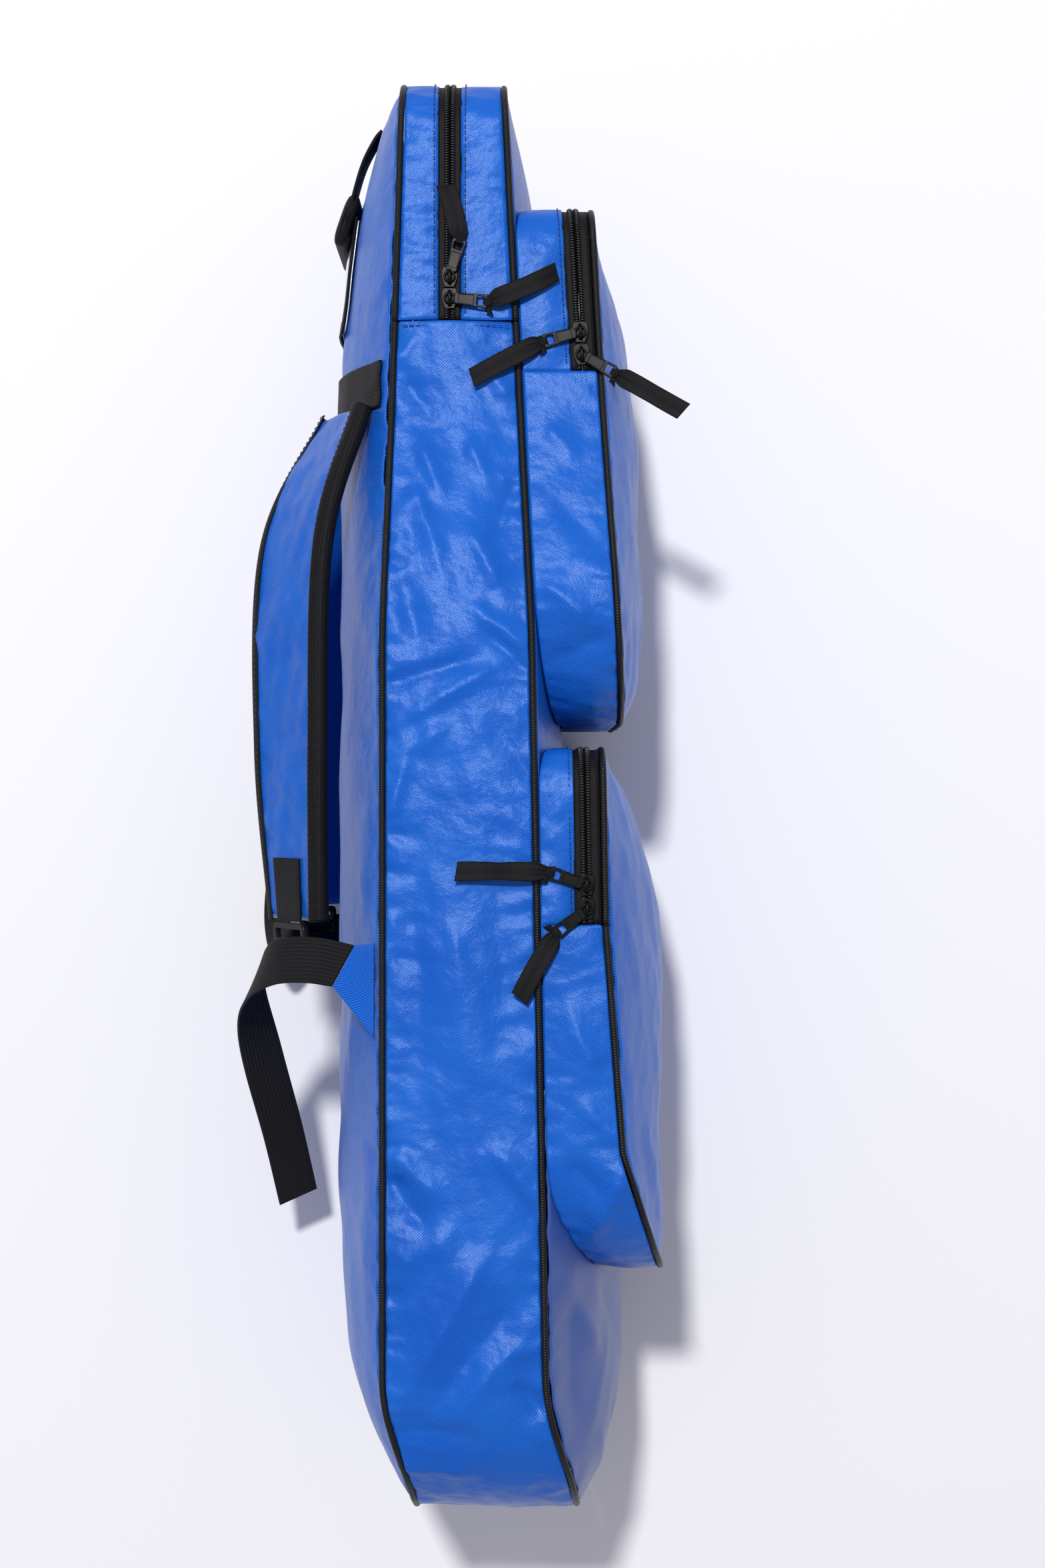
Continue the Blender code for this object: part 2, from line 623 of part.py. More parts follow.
def slider(name, place, pull_deg, ribbon_bend, ribbon_length, parent):
    """A slider on the zip's near leg, with its pull tab at an angle from +X and a ribbon tied to the pull."""
    pivot = joint(name + "_slide", place, parent)
    tape_under = -ZIP_TAPE - JOIN_GAP
    half, post = SLIDER_WIDTH / 2, SLIDER_POST / 2
    top = JOIN_GAP + SLIDER_PLATE
    section = [(-half, JOIN_GAP), (-post, JOIN_GAP), (-post, tape_under), (-half, tape_under)]
    section += [(-half, tape_under - SLIDER_PLATE), (half, tape_under - SLIDER_PLATE), (half, tape_under)]
    section += [(post, tape_under), (post, JOIN_GAP), (half, JOIN_GAP), (half, top), (-half, top)]
    upright = Matrix.Rotation(math.radians(90), 4, "X")
    item = add(name, plate_mesh([section], SLIDER_LENGTH, place @ upright), slider_black, pivot)

    bar_height = top + KNUCKLE_RADIUS + JOIN_GAP
    turn = Matrix.Rotation(math.radians(pull_deg), 4, "Z")
    reach = CROWN_WINDOW / 2 + CROWN_BAR
    crown = [rectangle(-reach, top - SLIDER_PLATE / 2, reach, bar_height + CROWN_BAR / 2)]
    window = CROWN_WINDOW / 2
    crown.append(rectangle(-window, top + JOIN_GAP / 2, window, bar_height - CROWN_BAR / 2))
    across = Matrix.Rotation(math.radians(90), 4, "Z") @ upright
    union(item, plate_mesh(crown, CROWN_BAR, place @ turn @ across), "MANIFOLD")

    bar = place @ turn @ Matrix.Translation((0, 0, bar_height))
    hinge = joint(name + "_pull_hinge", bar, pivot)
    half = PULL_WIDTH / 2
    outline = [(PULL_START, -half * PULL_TAPER), (PULL_LENGTH, -half), (PULL_LENGTH, half)]
    outline.append((PULL_START, half * PULL_TAPER))
    eye_start = PULL_LENGTH - PULL_EYE - PULL_THICKNESS
    eye = rectangle(eye_start, -half + PULL_THICKNESS, eye_start + PULL_EYE, half - PULL_THICKNESS)
    pull = add(name + "_pull", plate_mesh([outline, eye], PULL_THICKNESS, bar), slider_black, hinge)
    knuckle = [round_loop(KNUCKLE_RADIUS), round_loop(KNUCKLE_BORE)]
    sideways = Matrix.Rotation(math.radians(90), 4, "X")
    union(pull, plate_mesh(knuckle, KNUCKLE_WIDTH, bar @ sideways))
    neck = rectangle(KNUCKLE_BORE + JOIN_GAP, -KNUCKLE_WIDTH / 2, PULL_START + JOIN_GAP, KNUCKLE_WIDTH / 2)
    union(pull, plate_mesh([neck], PULL_THICKNESS, bar))

    start = Vector((PULL_LENGTH + JOIN_GAP, 0, 0))
    bend = math.radians(ribbon_bend)
    grid = []
    for i in range(RIBBON_ROWS):
        f = i / (RIBBON_ROWS - 1)
        middle = start + Vector((f * math.cos(bend * f), f * math.sin(bend * f), 0)) * ribbon_length
        side = Vector((-math.sin(bend * f), math.cos(bend * f), 0)) * RIBBON_WIDTH / 2
        grid.append([bar @ (middle - side), bar @ (middle + side)])
    sheet(name + "_ribbon", grid, RIBBON_THICKNESS, ribbon_black, parent=hinge)
    return pivot


def zip_place(zip_x, y, low, high):
    """A frame on a zip's near leg, with its Y axis along the zip and Z outwards."""
    slope = math.atan2(zip_x(high) - zip_x(low), high - low)
    point = Vector((zip_x(y), y, MID_Z + half_width(high)))
    return Matrix.Translation(point) @ Matrix.Rotation(-slope, 4, "Z")


def sliders():
    for name, zip_x, low, high, pair in (
        ("main_slider", lambda y: ZIP_LINE_X, ZIP_END_Y, TOP_Y - TOP_CORNER, MAIN_SLIDERS),
        ("upper_slider", lambda y: upper_seam(y) - POCKET_ZIP_INSET, UPPER_ZIP_END_Y,
         UPPER_TOP_Y - POCKET_TOP_CORNER, UPPER_SLIDERS),
        ("lower_slider", lambda y: lower_seam(y) - POCKET_ZIP_INSET, LOWER_ZIP_END_Y,
         LOWER_TOP_Y - POCKET_TOP_CORNER, LOWER_SLIDERS),
    ):
        carrier = None
        for suffix, (above, pull_deg, bend, length) in zip(("_first", "_second"), pair):
            place = zip_place(zip_x, low + above, low, high)
            carrier = slider(name + suffix, place, pull_deg, bend, length, carrier)


# Shoulder straps

def strap(name, sign, tail, tail_base):
    """A padded strap with its tab, ladder lock, adjuster webbing and anchor tab, on the near or far side."""
    def flip(p):
        return Vector((p[0], p[1], MID_Z + sign * p[2]))

    def edges(f):
        row = [between([(s[1], s[0], s[2]) for s in STRAP_STATIONS], f),
               between([(s[3], s[0], s[4]) for s in STRAP_STATIONS], f)]
        return [flip(p) for p in row]

    hinge_at = edges(0.0)[0 if sign > 0 else 1]
    anchor_y = (ANCHOR_TOP_Y + ANCHOR_BOTTOM_Y) / 2 + WEBBING_WIDTH / 2
    seam_x = rear_seam(anchor_y) - 2 * PIPING_RADIUS
    base_side = half_width(anchor_y) - 2 * PIPING_RADIUS
    apex = Vector((seam_x - ANCHOR_REACH, anchor_y, base_side - ANCHOR_DROP))
    pivot = joint(name + "_strap_swing", Matrix.Translation(hinge_at))
    print(name + "_anchor", [round(v, 5) for v in flip(apex)])

    def outer(point):
        return Vector((-1, 0, sign * 0.75))

    def face_point(f, g, lift):
        """A point on the strap, across it at g from its upper edge, lifted off its inner face."""
        upper, lower = edges(f)
        down = edges(min(1.0, f + 0.01))[0] - edges(max(0.0, f - 0.01))[0]
        normal = (lower - upper).cross(down).normalized()
        if normal.dot(outer(None)) < 0:
            normal = -normal
        return upper + (lower - upper) * g + normal * lift

    grid = [[face_point(r / (PAD_ROWS - 1), c / (PAD_COLUMNS - 1), PAD_THICKNESS) for c in range(PAD_COLUMNS)]
            for r in range(PAD_ROWS)]
    sheet(name + "_strap_pad", grid, PAD_THICKNESS, blue, outer, pivot)

    def lower_plate(y, across, lift):
        """A point in the plane of the pad's outer face near its lower end."""
        upper, lower = edges(1.0)
        middle = face_point(1.0, 0.5, PAD_THICKNESS + lift)
        side = (lower - upper).normalized()
        return middle + side * across + Vector((0, y - PAD_END_Y, 0))

    def place_of(y):
        """How far down the strap a height lies, from 0 to 1."""
        low, high = 0.0, 1.0
        for _ in range(30):
            middle = (low + high) / 2
            low, high = (middle, high) if edges(middle)[0].y > y else (low, middle)
        return low

    tab_low = PAD_END_Y - 2 * JOIN_GAP
    half = WEBBING_WIDTH / 2
    tab = []
    for y in (TAB_TOP_Y, (TAB_TOP_Y + PAD_END_Y) / 2, PAD_END_Y):
        f = place_of(y)
        across = half / (edges(f)[1] - edges(f)[0]).length
        tab.append([face_point(f, 0.5 + g, PAD_THICKNESS + SKIN_LIFT + WEBBING) for g in (-across, across)])
    tab.append([lower_plate(tab_low, a, SKIN_LIFT + WEBBING) for a in (-half, half)])
    sheet(name + "_strap_tab", tab, WEBBING, trim_black, outer, pivot)

    lock_top = tab_low - JOIN_GAP
    lock_low = lock_top - LOCK_LENGTH
    upper, lower = edges(1.0)
    side = (lower - upper).normalized()
    up = Vector((0, 1, 0))
    middle = lower_plate((lock_top + lock_low) / 2, 0.0, SKIN_LIFT + WEBBING / 2)
    axes = Matrix((side, up, side.cross(up))).transposed().to_4x4()
    half, tall = LOCK_WIDTH / 2, LOCK_LENGTH / 2
    slot = half - LOCK_RAIL
    loops = [rectangle(-half, -tall, half, tall)]
    loops.append(rectangle(-slot, -tall + LOCK_RAIL, slot, -LOCK_RAIL / 2))
    loops.append(rectangle(-slot, LOCK_RAIL / 2, slot, tall - LOCK_RAIL))
    add(name + "_ladder_lock", plate_mesh(loops, LOCK_THICKNESS, Matrix.Translation(middle) @ axes),
        slider_black, pivot)

    anchor_side = Vector(ANCHOR_SIDE)
    first = apex + Vector((-1, 0, 0)) * (2 * JOIN_GAP)
    rise = [(x, PAD_END_Y + y, side) for x, y, side in ADJUSTER_RISE]
    centres = [flip(p) for p in [first] + rise]
    centres += [Vector((x, PAD_END_Y + y, tail_base + up)) for x, y, up in tail]
    sides = [anchor_side] + [Vector(v) for v in RISE_SIDES + TAIL_SIDES]
    grid = []
    for i in range(ADJUSTER_ROWS):
        f = i / (ADJUSTER_ROWS - 1)
        middle = between(centres, f)
        reach = between(sides, f).normalized() * WEBBING_WIDTH / 2
        grid.append([middle - reach, middle + reach])
    sheet(name + "_adjuster", grid, WEBBING, trim_black, parent=pivot)

    base = [Vector((seam_x, y, base_side)) for y in (ANCHOR_BOTTOM_Y, ANCHOR_TOP_Y)]
    tip = [apex - anchor_side * WEBBING_WIDTH / 2, apex + anchor_side * WEBBING_WIDTH / 2]
    grid = [[flip(p) for p in base], [flip(p) for p in tip]]
    sheet(name + "_anchor_tab", grid, CLOTH, blue)


for old in list(bpy.data.objects):
    bpy.data.objects.remove(old)
joint_place = {}
parts = bpy.data.collections.new("racket_bag")
cutters = bpy.data.collections.new("cutters")
bpy.context.scene.collection.children.link(parts)
bpy.context.scene.collection.children.link(cutters)
blue = material("blue_polyester", (0.01, 0.10, 0.55), 0.55)
coated = material("blue_coated", (0.02, 0.10, 0.45), 0.35)
trim_black = material("black_webbing", (0.02, 0.02, 0.022), 0.7)
zip_black = material("zip_black", (0.02, 0.02, 0.02), 0.6)
slider_black = material("slider_black", (0.012, 0.012, 0.014), 0.3)
ribbon_black = material("ribbon_black", (0.03, 0.027, 0.028), 0.8)
clear = material("clear_window", (0.75, 0.77, 0.80), 0.15)

main_compartment()
pocket("upper_pocket", UPPER, upper_seam, upper_face, UPPER_ZIP_END_Y)
pocket("lower_pocket", LOWER, lower_seam, lower_face, LOWER_ZIP_END_Y)
sliders()
strap("near", 1, NEAR_TAIL, MID_Z)
strap("far", -1, FAR_TAIL, 0.0)
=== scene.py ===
# %% [markdown]
# # Racket tournament bag
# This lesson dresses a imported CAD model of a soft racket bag. The CAD solids give every piece its place and
# its movement. Each cell below makes one piece or one finish over them, in metres, in the same frame.
# The bag lies on its far side: X runs from back to front, Y from the racket-head end to the grip end, Z is up.

# %% Load the frame
import json
import math

import bmesh
import bpy
import numpy as np
from mathutils import Matrix, Vector

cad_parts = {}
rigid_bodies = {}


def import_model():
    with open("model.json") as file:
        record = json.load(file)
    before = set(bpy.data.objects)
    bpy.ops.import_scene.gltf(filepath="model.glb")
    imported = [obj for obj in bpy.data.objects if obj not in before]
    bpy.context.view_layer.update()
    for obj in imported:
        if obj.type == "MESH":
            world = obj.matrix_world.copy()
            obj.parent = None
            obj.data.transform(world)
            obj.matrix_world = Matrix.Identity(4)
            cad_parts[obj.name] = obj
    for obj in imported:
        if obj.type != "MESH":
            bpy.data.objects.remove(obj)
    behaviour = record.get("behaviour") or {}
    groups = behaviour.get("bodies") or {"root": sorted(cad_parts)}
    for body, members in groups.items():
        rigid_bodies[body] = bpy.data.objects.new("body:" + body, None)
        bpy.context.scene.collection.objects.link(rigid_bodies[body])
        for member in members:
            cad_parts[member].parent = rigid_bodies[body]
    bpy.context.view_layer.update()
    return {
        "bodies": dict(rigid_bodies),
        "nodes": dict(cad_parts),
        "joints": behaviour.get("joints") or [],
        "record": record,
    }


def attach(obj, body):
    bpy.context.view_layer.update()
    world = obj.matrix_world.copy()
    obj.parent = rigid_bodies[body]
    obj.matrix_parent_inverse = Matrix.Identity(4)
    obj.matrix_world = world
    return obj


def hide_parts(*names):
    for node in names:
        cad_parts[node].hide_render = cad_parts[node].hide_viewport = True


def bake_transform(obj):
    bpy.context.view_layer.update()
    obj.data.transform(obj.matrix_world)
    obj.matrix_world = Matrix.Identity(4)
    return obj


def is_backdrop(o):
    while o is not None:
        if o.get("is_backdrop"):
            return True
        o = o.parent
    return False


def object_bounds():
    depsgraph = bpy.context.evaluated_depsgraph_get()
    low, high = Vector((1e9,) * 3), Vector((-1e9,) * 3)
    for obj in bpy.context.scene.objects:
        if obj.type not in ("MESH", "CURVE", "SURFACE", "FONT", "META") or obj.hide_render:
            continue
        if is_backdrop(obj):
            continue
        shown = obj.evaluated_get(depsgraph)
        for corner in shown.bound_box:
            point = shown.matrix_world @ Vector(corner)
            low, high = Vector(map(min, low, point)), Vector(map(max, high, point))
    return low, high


for old in list(bpy.data.objects):
    bpy.data.objects.remove(old)
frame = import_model()

# %% [markdown]
# The photograph looks straight down from about 1.6 m. A long lens could be guessed by eye, but the width of
# the webbing and the height of the bag fix it: 57.5 mm on a 36 mm sensor puts every seam on its pixel.

# %% Camera
CAMERA_HEIGHT = 1.6
lens = bpy.data.cameras.new("overhead")
lens.lens = 57.5
lens.sensor_width = 36.0
camera = bpy.data.objects.new("overhead", lens)
camera.location = (0.034, 0.010, CAMERA_HEIGHT)
bpy.context.scene.collection.objects.link(camera)
bpy.context.scene.camera = camera
bpy.context.scene.view_settings.view_transform = "Standard"
print("camera at", camera.location[:])

# %% [markdown]
# A node material is easier to read when a node and its inputs are made in one line, so two small helpers
# come first. A node input is either set to a number or linked from another node's output.

# %% Node helpers
def new_finish(name):
    finish = bpy.data.materials.new(name)
    finish.use_nodes = True
    return finish, finish.node_tree.nodes["Principled BSDF"]


def add_node(owner, kind, settings=None, **inputs):
    """Add a node to a material or a world, set its options, and fill its inputs by name."""
    node = owner.node_tree.nodes.new(kind)
    for key, value in (settings or {}).items():
        setattr(node, key, value)
    for key, value in inputs.items():
        set_input(owner, node, key, value)
    return node


def set_input(owner, node, key, value):
    """Fill one input: names use _ for a space, and a plain number picks an input by its place."""
    spot = node.inputs[int(key[1:])] if key[1:].isdigit() else node.inputs[key.replace("_", " ")]
    if isinstance(value, bpy.types.NodeSocket):
        owner.node_tree.links.new(value, spot)
    else:
        spot.default_value = value


def mix_colour(owner, factor, low, high):
    mix = add_node(owner, "ShaderNodeMix", {"data_type": "RGBA"})
    for spot, value in ((0, factor), (6, low), (7, high)):
        set_input(owner, mix, f"i{spot}", value)
    return mix.outputs[2]


print("node helpers ready")

# %% [markdown]
# One lamp from beyond the top of the picture makes the shadows that fall down and to the right, longer towards the
# bottom end, and a pale sky fills them. The sky is plain white where the camera sees it, and dimmer as a lamp.

# %% Light and floor
LAMP_PLACE = Vector((-0.30, 1.02, 3.2))
lamp = bpy.data.lights.new("key", "AREA")
lamp.shape = "DISK"
lamp.size = 0.22
lamp.energy = 80.0
key = bpy.data.objects.new("key", lamp)
key.location = LAMP_PLACE
key.rotation_euler = LAMP_PLACE.to_track_quat("Z", "Y").to_euler()
bpy.context.scene.collection.objects.link(key)

sky = bpy.data.worlds.new("sky")
sky.use_nodes = True
bpy.context.scene.world = sky
path = add_node(sky, "ShaderNodeLightPath")
strength = add_node(sky, "ShaderNodeMapRange", None, Value=path.outputs["Is Camera Ray"], To_Min=0.44, To_Max=1.0)
backdrop = sky.node_tree.nodes["Background"]
set_input(sky, backdrop, "Color", (0.93, 0.90, 1.0, 1.0))
set_input(sky, backdrop, "Strength", strength.outputs[0])

FLOOR_SIZE = 6.0
mesh = bpy.data.meshes.new("floor")
half = FLOOR_SIZE / 2
corners = [(-half, -half, -0.001), (half, -half, -0.001), (half, half, -0.001), (-half, half, -0.001)]
mesh.from_pydata(corners, [], [(0, 1, 2, 3)])
floor = bpy.data.objects.new("floor", mesh)
bpy.context.scene.collection.objects.link(floor)
pale, shader = new_finish("pale_floor")
grain = add_node(pale, "ShaderNodeTexNoise", None, Scale=9.0)
tone = mix_colour(pale, grain.outputs[0], (0.90, 0.90, 0.905, 1.0), (0.93, 0.93, 0.935, 1.0))
set_input(pale, shader, "Base_Color", tone)
shader.inputs["Roughness"].default_value = 0.8
mesh.materials.append(pale)
floor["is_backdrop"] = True
print("lamp", lamp.energy, "W, floor", FLOOR_SIZE, "m")

# %% [markdown]
# The bag is a flat-sided loop of cloth, the gusset, closed by two pillow-shaped panels. Rather than push
# points about by hand, a few short formulas give the outline and the swell, with the same measures as the CAD
# model, so a dense cloth mesh lands exactly on its solid. Numpy works on all points at once.

# %% Measures of the bag
BOTTOM, TOP = -0.388, 0.390
MID = 0.1425
ZIP_END = 0.258
BASE_SEAM = -0.150
SEAM_INSET = 0.0031
CLOTH = 0.0011
MAIN = (BOTTOM, TOP, 0.078, 0.028)
UPPER = (0.042, 0.321, 0.072, 0.020)
LOWER = (-0.256, 0.029, 0.072, 0.020)


def ease(f):
    f = np.clip(f, 0.0, 1.0)
    return f * f * (3 - 2 * f)


def fade(distance, reach):
    return 1 - (1 - np.clip(distance / reach, 0.0, 1.0)) ** 2


def half_width(y):
    return 0.1425 - 0.0245 * ease((y - 0.090) / 0.135)


def edge(shape, y, inset=0.0):
    """Distance from the middle plane to a shape's edge, corners rounded."""
    bottom, top, low_corner, high_corner = shape
    w = half_width(y) - inset
    for drop, radius in ((bottom + low_corner - y, low_corner), (y - top + high_corner, high_corner)):
        r = radius - inset
        w = w - np.where(drop > 0, r - np.sqrt(np.maximum(0.0, r * r - drop * drop)), 0.0)
    return w


def dome(shape, y, dz):
    return 1 - np.minimum(1.0, np.abs(dz) / np.maximum(edge(shape, y), 1e-4)) ** 2.4


print("bag", TOP - BOTTOM, "m long,", 2 * float(half_width(0.0)), "m wide")

# %% Seams and faces
def end_shift(y):
    """The soft bottom end has slumped towards the front."""
    return 0.016 * (1 - ease((y - BOTTOM) / 0.085))


def rear_seam(y):
    return np.interp(y, (BOTTOM, 0.090, TOP), (-0.041, -0.041, -0.0315)) + end_shift(y)


def front_seam(y):
    return np.interp(y, (BOTTOM, 0.090, TOP), (0.049, 0.040, 0.025)) + end_shift(y)


def back_face(y, dz):
    ends = fade(y - BOTTOM, 0.140) * (0.3 * fade(TOP - y, 0.020) + 0.7 * fade(TOP - y, 0.170))
    return rear_seam(y) + (-0.070 - rear_seam(y)) * ends * dome(MAIN, y, dz)


def front_face(y, dz):
    swell = np.interp(y, (-0.200, 0.050), (0.042, 0.014)) * fade(y - BOTTOM, 0.085) * fade(TOP - y, 0.085)
    return front_seam(y) + swell * dome(MAIN, y, dz)


def upper_seam(y):
    return np.interp(y, (0.042, 0.231, 0.321), (0.089, 0.077, 0.072))


def lower_seam(y):
    return np.interp(y, (-0.256, -0.184, -0.064, 0.029), (0.111, 0.088, 0.079, 0.0774))


def pocket_face(shape, seam, crown, top_fade):
    def face(y, dz):
        ends = fade(y - shape[0], 0.030) * fade(shape[1] - y, top_fade)
        return seam(y) + (crown - seam(y)) * ends * dome(shape, y, dz)
    return face


upper_face = pocket_face(UPPER, upper_seam, 0.101, 0.155)
lower_face = pocket_face(LOWER, lower_seam, 0.1135, 0.120)
print("back bulges to", round(float(back_face(0.0, 0.0)), 4))

# %% [markdown]
# Cloth never lies quite flat. Three kinds of wrinkle are enough: ripples, a sum of a few gentle waves with
# seeded directions; creases, placed one by one where the photograph shows them; and puckers, the short
# gathers that a tight line of stitching leaves beside a seam.

# %% Wrinkles
def ripples(a, b, size, seed, count=12):
    """Smooth random waves of about this size, with a height near 1."""
    dice = np.random.default_rng(seed)
    total = np.zeros(np.broadcast(a, b).shape)
    for turn, phase, stretch in dice.uniform((0, 0, 0.6), (2 * np.pi, 2 * np.pi, 1.7), (count, 3)):
        total += np.sin((a * math.cos(turn) + b * math.sin(turn)) * 2 * np.pi / (size * stretch) + phase)
    return total / math.sqrt(count)


def creases(a, b, table):
    """Folds along lines: each row is start, end, width and height in millimetres."""
    total = np.zeros(np.broadcast(a, b).shape)
    for a0, b0, a1, b1, width, height in np.asarray(table, float) / 1000:
        run = math.hypot(a1 - a0, b1 - b0)
        along = ((a - a0) * (a1 - a0) + (b - b0) * (b1 - b0)) / run ** 2
        off = ((a - a0) * (b1 - b0) - (b - b0) * (a1 - a0)) / run
        ends = np.clip(np.abs(along - 0.5) - 0.25, 0, None) / 0.28
        total += height * np.exp(-np.abs(off / width) ** 1.3 - ends ** 2)
    return total


def puckers(run, distance, seed, size=0.016, reach=0.014):
    """Gathers across a seam: run is measured along it, distance away from it."""
    lines = ripples(run, distance * 0.35, size, seed)
    return (0.35 - np.abs(lines)) * np.exp(-distance / reach)


print("wrinkle of", round(float(ripples(np.array(0.1), np.array(0.2), 0.05, 1)), 3))

# %% [markdown]
# Every cloth piece is one or more grids of points. The helper turns rows and columns into quads, measures the
# UVs in metres so that a weave keeps its real size, and leaves the
# thickness to a Solidify modifier and the smoothness of folded cloth to a subdivision.

# %% Cloth from grids
def grid_faces(points, outward, first):
    """Quads of a (rows, columns, 3) grid that face outward at its middle, and UVs in metres."""
    rows, columns = points.shape[:2]
    index = np.arange(rows * columns).reshape(rows, columns)
    quads = np.stack([index[:-1, :-1], index[:-1, 1:], index[1:, 1:], index[1:, :-1]], -1).reshape(-1, 4)
    r, c = rows // 2, columns // 2
    side, down = points[r, c] - points[r, c - 1], points[r, c] - points[r - 1, c]
    if np.dot(np.cross(side, down), outward) < 0:
        quads = quads[:, ::-1]
    across = np.cumsum(np.linalg.norm(np.diff(points, axis=1, prepend=points[:, :1]), axis=2), axis=1)
    across = across - across[:, c:c + 1]
    along = np.cumsum(np.linalg.norm(np.diff(points[:, c], axis=0, prepend=points[:1, c]), axis=1))
    uv = np.stack([across, np.broadcast_to(along[:, None], across.shape)], -1).reshape(-1, 2)
    return quads + first, uv[quads.ravel()]


def cloth(name, patches, finish, thickness=0.0, weld=False, smooth=False):
    """One smooth object from patches, each a grid of points with an outward direction."""
    points, quads, uvs, first = [], [], [], 0
    for grid, outward in patches:
        faces, uv = grid_faces(grid, outward, first)
        points.append(grid.reshape(-1, 3))
        quads.append(faces)
        uvs.append(uv)
        first += len(points[-1])
    quads = np.concatenate(quads)
    mesh = bpy.data.meshes.new(name)
    mesh.from_pydata(np.concatenate(points).tolist(), [], quads.tolist())
    mesh.uv_layers.new(name="cloth").data.foreach_set("uv", np.concatenate(uvs).astype(np.float32).ravel())
    mesh.polygons.foreach_set("use_smooth", np.ones(len(quads), bool))
    mesh.materials.append(finish)
    item = bpy.data.objects.new(name, mesh)
    bpy.context.scene.collection.objects.link(item)
    if weld:
        weld_points(item)
    if smooth:
        rounder = item.modifiers.new("rounder", "SUBSURF")
        rounder.levels = rounder.render_levels = 1
    if thickness:
        solid = item.modifiers.new("thickness", "SOLIDIFY")
        solid.thickness = thickness
        solid.offset = -1.0
    return item


def weld_points(item):
    """Join points that meet, so that a rolled-up grid closes."""
    bm = bmesh.new()
    bm.from_mesh(item.data)
    bmesh.ops.remove_doubles(bm, verts=bm.verts, dist=1e-7)
    bm.to_mesh(item.data)
    bm.free()


def dress(item, body, slot, *nodes):
    """Say which body a piece moves with and which CAD nodes it stands for; the slot is not used."""
    if body:
        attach(item, body)
    if nodes:
        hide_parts(*nodes)
    return item


print("cloth helper ready")

# %% [markdown]
# The blue cloth is a polyester twill: fine diagonal ribs, a soft silky sheen and small changes of tone. The ribs
# are waves in UV space, because the UVs are in metres; a noise breaks them into threads and another, much
# larger, makes the faint clouds that real cloth has. The ribs and threads also set the colour, pale on the ribs and
# dark between them, which is a painted sheen along the weave; the clouds are the cloth's own tone. A bluish
# specular tint keeps the highlights from going white.

# %% Blue twill
def wave(finish, vector, pitch, direction="X"):
    """Even ribs with this distance between them; a wave texture repeats every 0.314 at scale 1."""
    repeat = 0.4443 if direction == "DIAGONAL" else 0.3142
    ribs = add_node(finish, "ShaderNodeTexWave", {"bands_direction": direction}, Vector=vector, Scale=repeat / pitch)
    return ribs.outputs[1]


def blend_of(finish, first, second, share):
    mix = add_node(finish, "ShaderNodeMix", None, Factor=share)
    set_input(finish, mix, "i2", first)
    set_input(finish, mix, "i3", second)
    return mix.outputs[0]


def spread(finish, value, low, high):
    return add_node(finish, "ShaderNodeMapRange", None, Value=value, To_Min=low, To_Max=high).outputs[0]


def emboss(finish, shader, height, depth, strength=1.0):
    """Feed a height into the shader's normal, over any relief already there; depth is in metres."""
    bump = add_node(finish, "ShaderNodeBump", None, Height=height, Distance=depth, Strength=strength)
    for link in shader.inputs["Normal"].links:
        set_input(finish, bump, "Normal", link.from_socket)
    set_input(finish, shader, "Normal", bump.outputs[0])


def cloth_uv(finish):
    return add_node(finish, "ShaderNodeUVMap", {"uv_map": "cloth"}).outputs[0]


blue, shader = new_finish("blue_twill")
uv = cloth_uv(blue)
ribs = wave(blue, uv, 0.00105, "DIAGONAL")
threads = add_node(blue, "ShaderNodeTexNoise", None, Vector=uv, Scale=1500.0, Detail=1.0).outputs[0]
clouds = add_node(blue, "ShaderNodeTexNoise", None, Vector=uv, Scale=16.0, Detail=3.0).outputs[0]
weave = blend_of(blue, ribs, threads, 0.5)
rib_sheen_and_tone = blend_of(blue, weave, clouds, 0.25)
# The colour is pale on the ribs and threads and dark between them, a painted sheen along the twill; the clouds mixed in
# are the cloth's own uneven tone.
set_input(blue, shader, "Base_Color", mix_colour(blue, spread(blue, rib_sheen_and_tone, -0.45, 1.45),
                                                 (0.0, 0.036, 0.36, 1.0), (0.014, 0.180, 0.68, 1.0)))
set_input(blue, shader, "Roughness", spread(blue, clouds, 0.31, 0.41))
shader.inputs["Specular IOR Level"].default_value = 0.34
shader.inputs["Specular Tint"].default_value = (0.62, 0.80, 1.0, 1.0)
crumple = add_node(blue, "ShaderNodeTexNoise", None, Vector=uv, Scale=80.0, Detail=4.0).outputs[0]
emboss(blue, shader, crumple, 0.0012)
emboss(blue, shader, weave, 0.0001)
print("made", blue.name)

# %% [markdown]
# The lower front is a coated cloth: smooth, a little rubbery, with a violet cast where it catches the light. It
# needs no ribs, only a fine pebble and soft clouds, and a lower, even roughness with a thin clear coat.

# %% Coated cloth
coated, shader = new_finish("coated_cloth")
uv = cloth_uv(coated)
pebble = add_node(coated, "ShaderNodeTexNoise", None, Vector=uv, Scale=2600.0, Detail=1.0).outputs[0]
clouds = add_node(coated, "ShaderNodeTexNoise", None, Vector=uv, Scale=11.0, Detail=4.0).outputs[0]
set_input(coated, shader, "Base_Color", mix_colour(coated, blend_of(coated, clouds, pebble, 0.15),
                                                   (0.010, 0.062, 0.285, 1.0), (0.030, 0.088, 0.355, 1.0)))
set_input(coated, shader, "Roughness", spread(coated, clouds, 0.40, 0.52))
shader.inputs["Specular IOR Level"].default_value = 0.75
shader.inputs["Coat Weight"].default_value = 0.12
shader.inputs["Coat Roughness"].default_value = 0.35
emboss(coated, shader, pebble, 0.00006, 0.5)
print("made", coated.name)

# %% [markdown]
# Webbing, binding and the covered piping cord are black polyester too, but ribbed: ridges run along the webbing
# and fine cross threads tie them. One recipe serves all of them, with the two pitches and the depth as inputs.

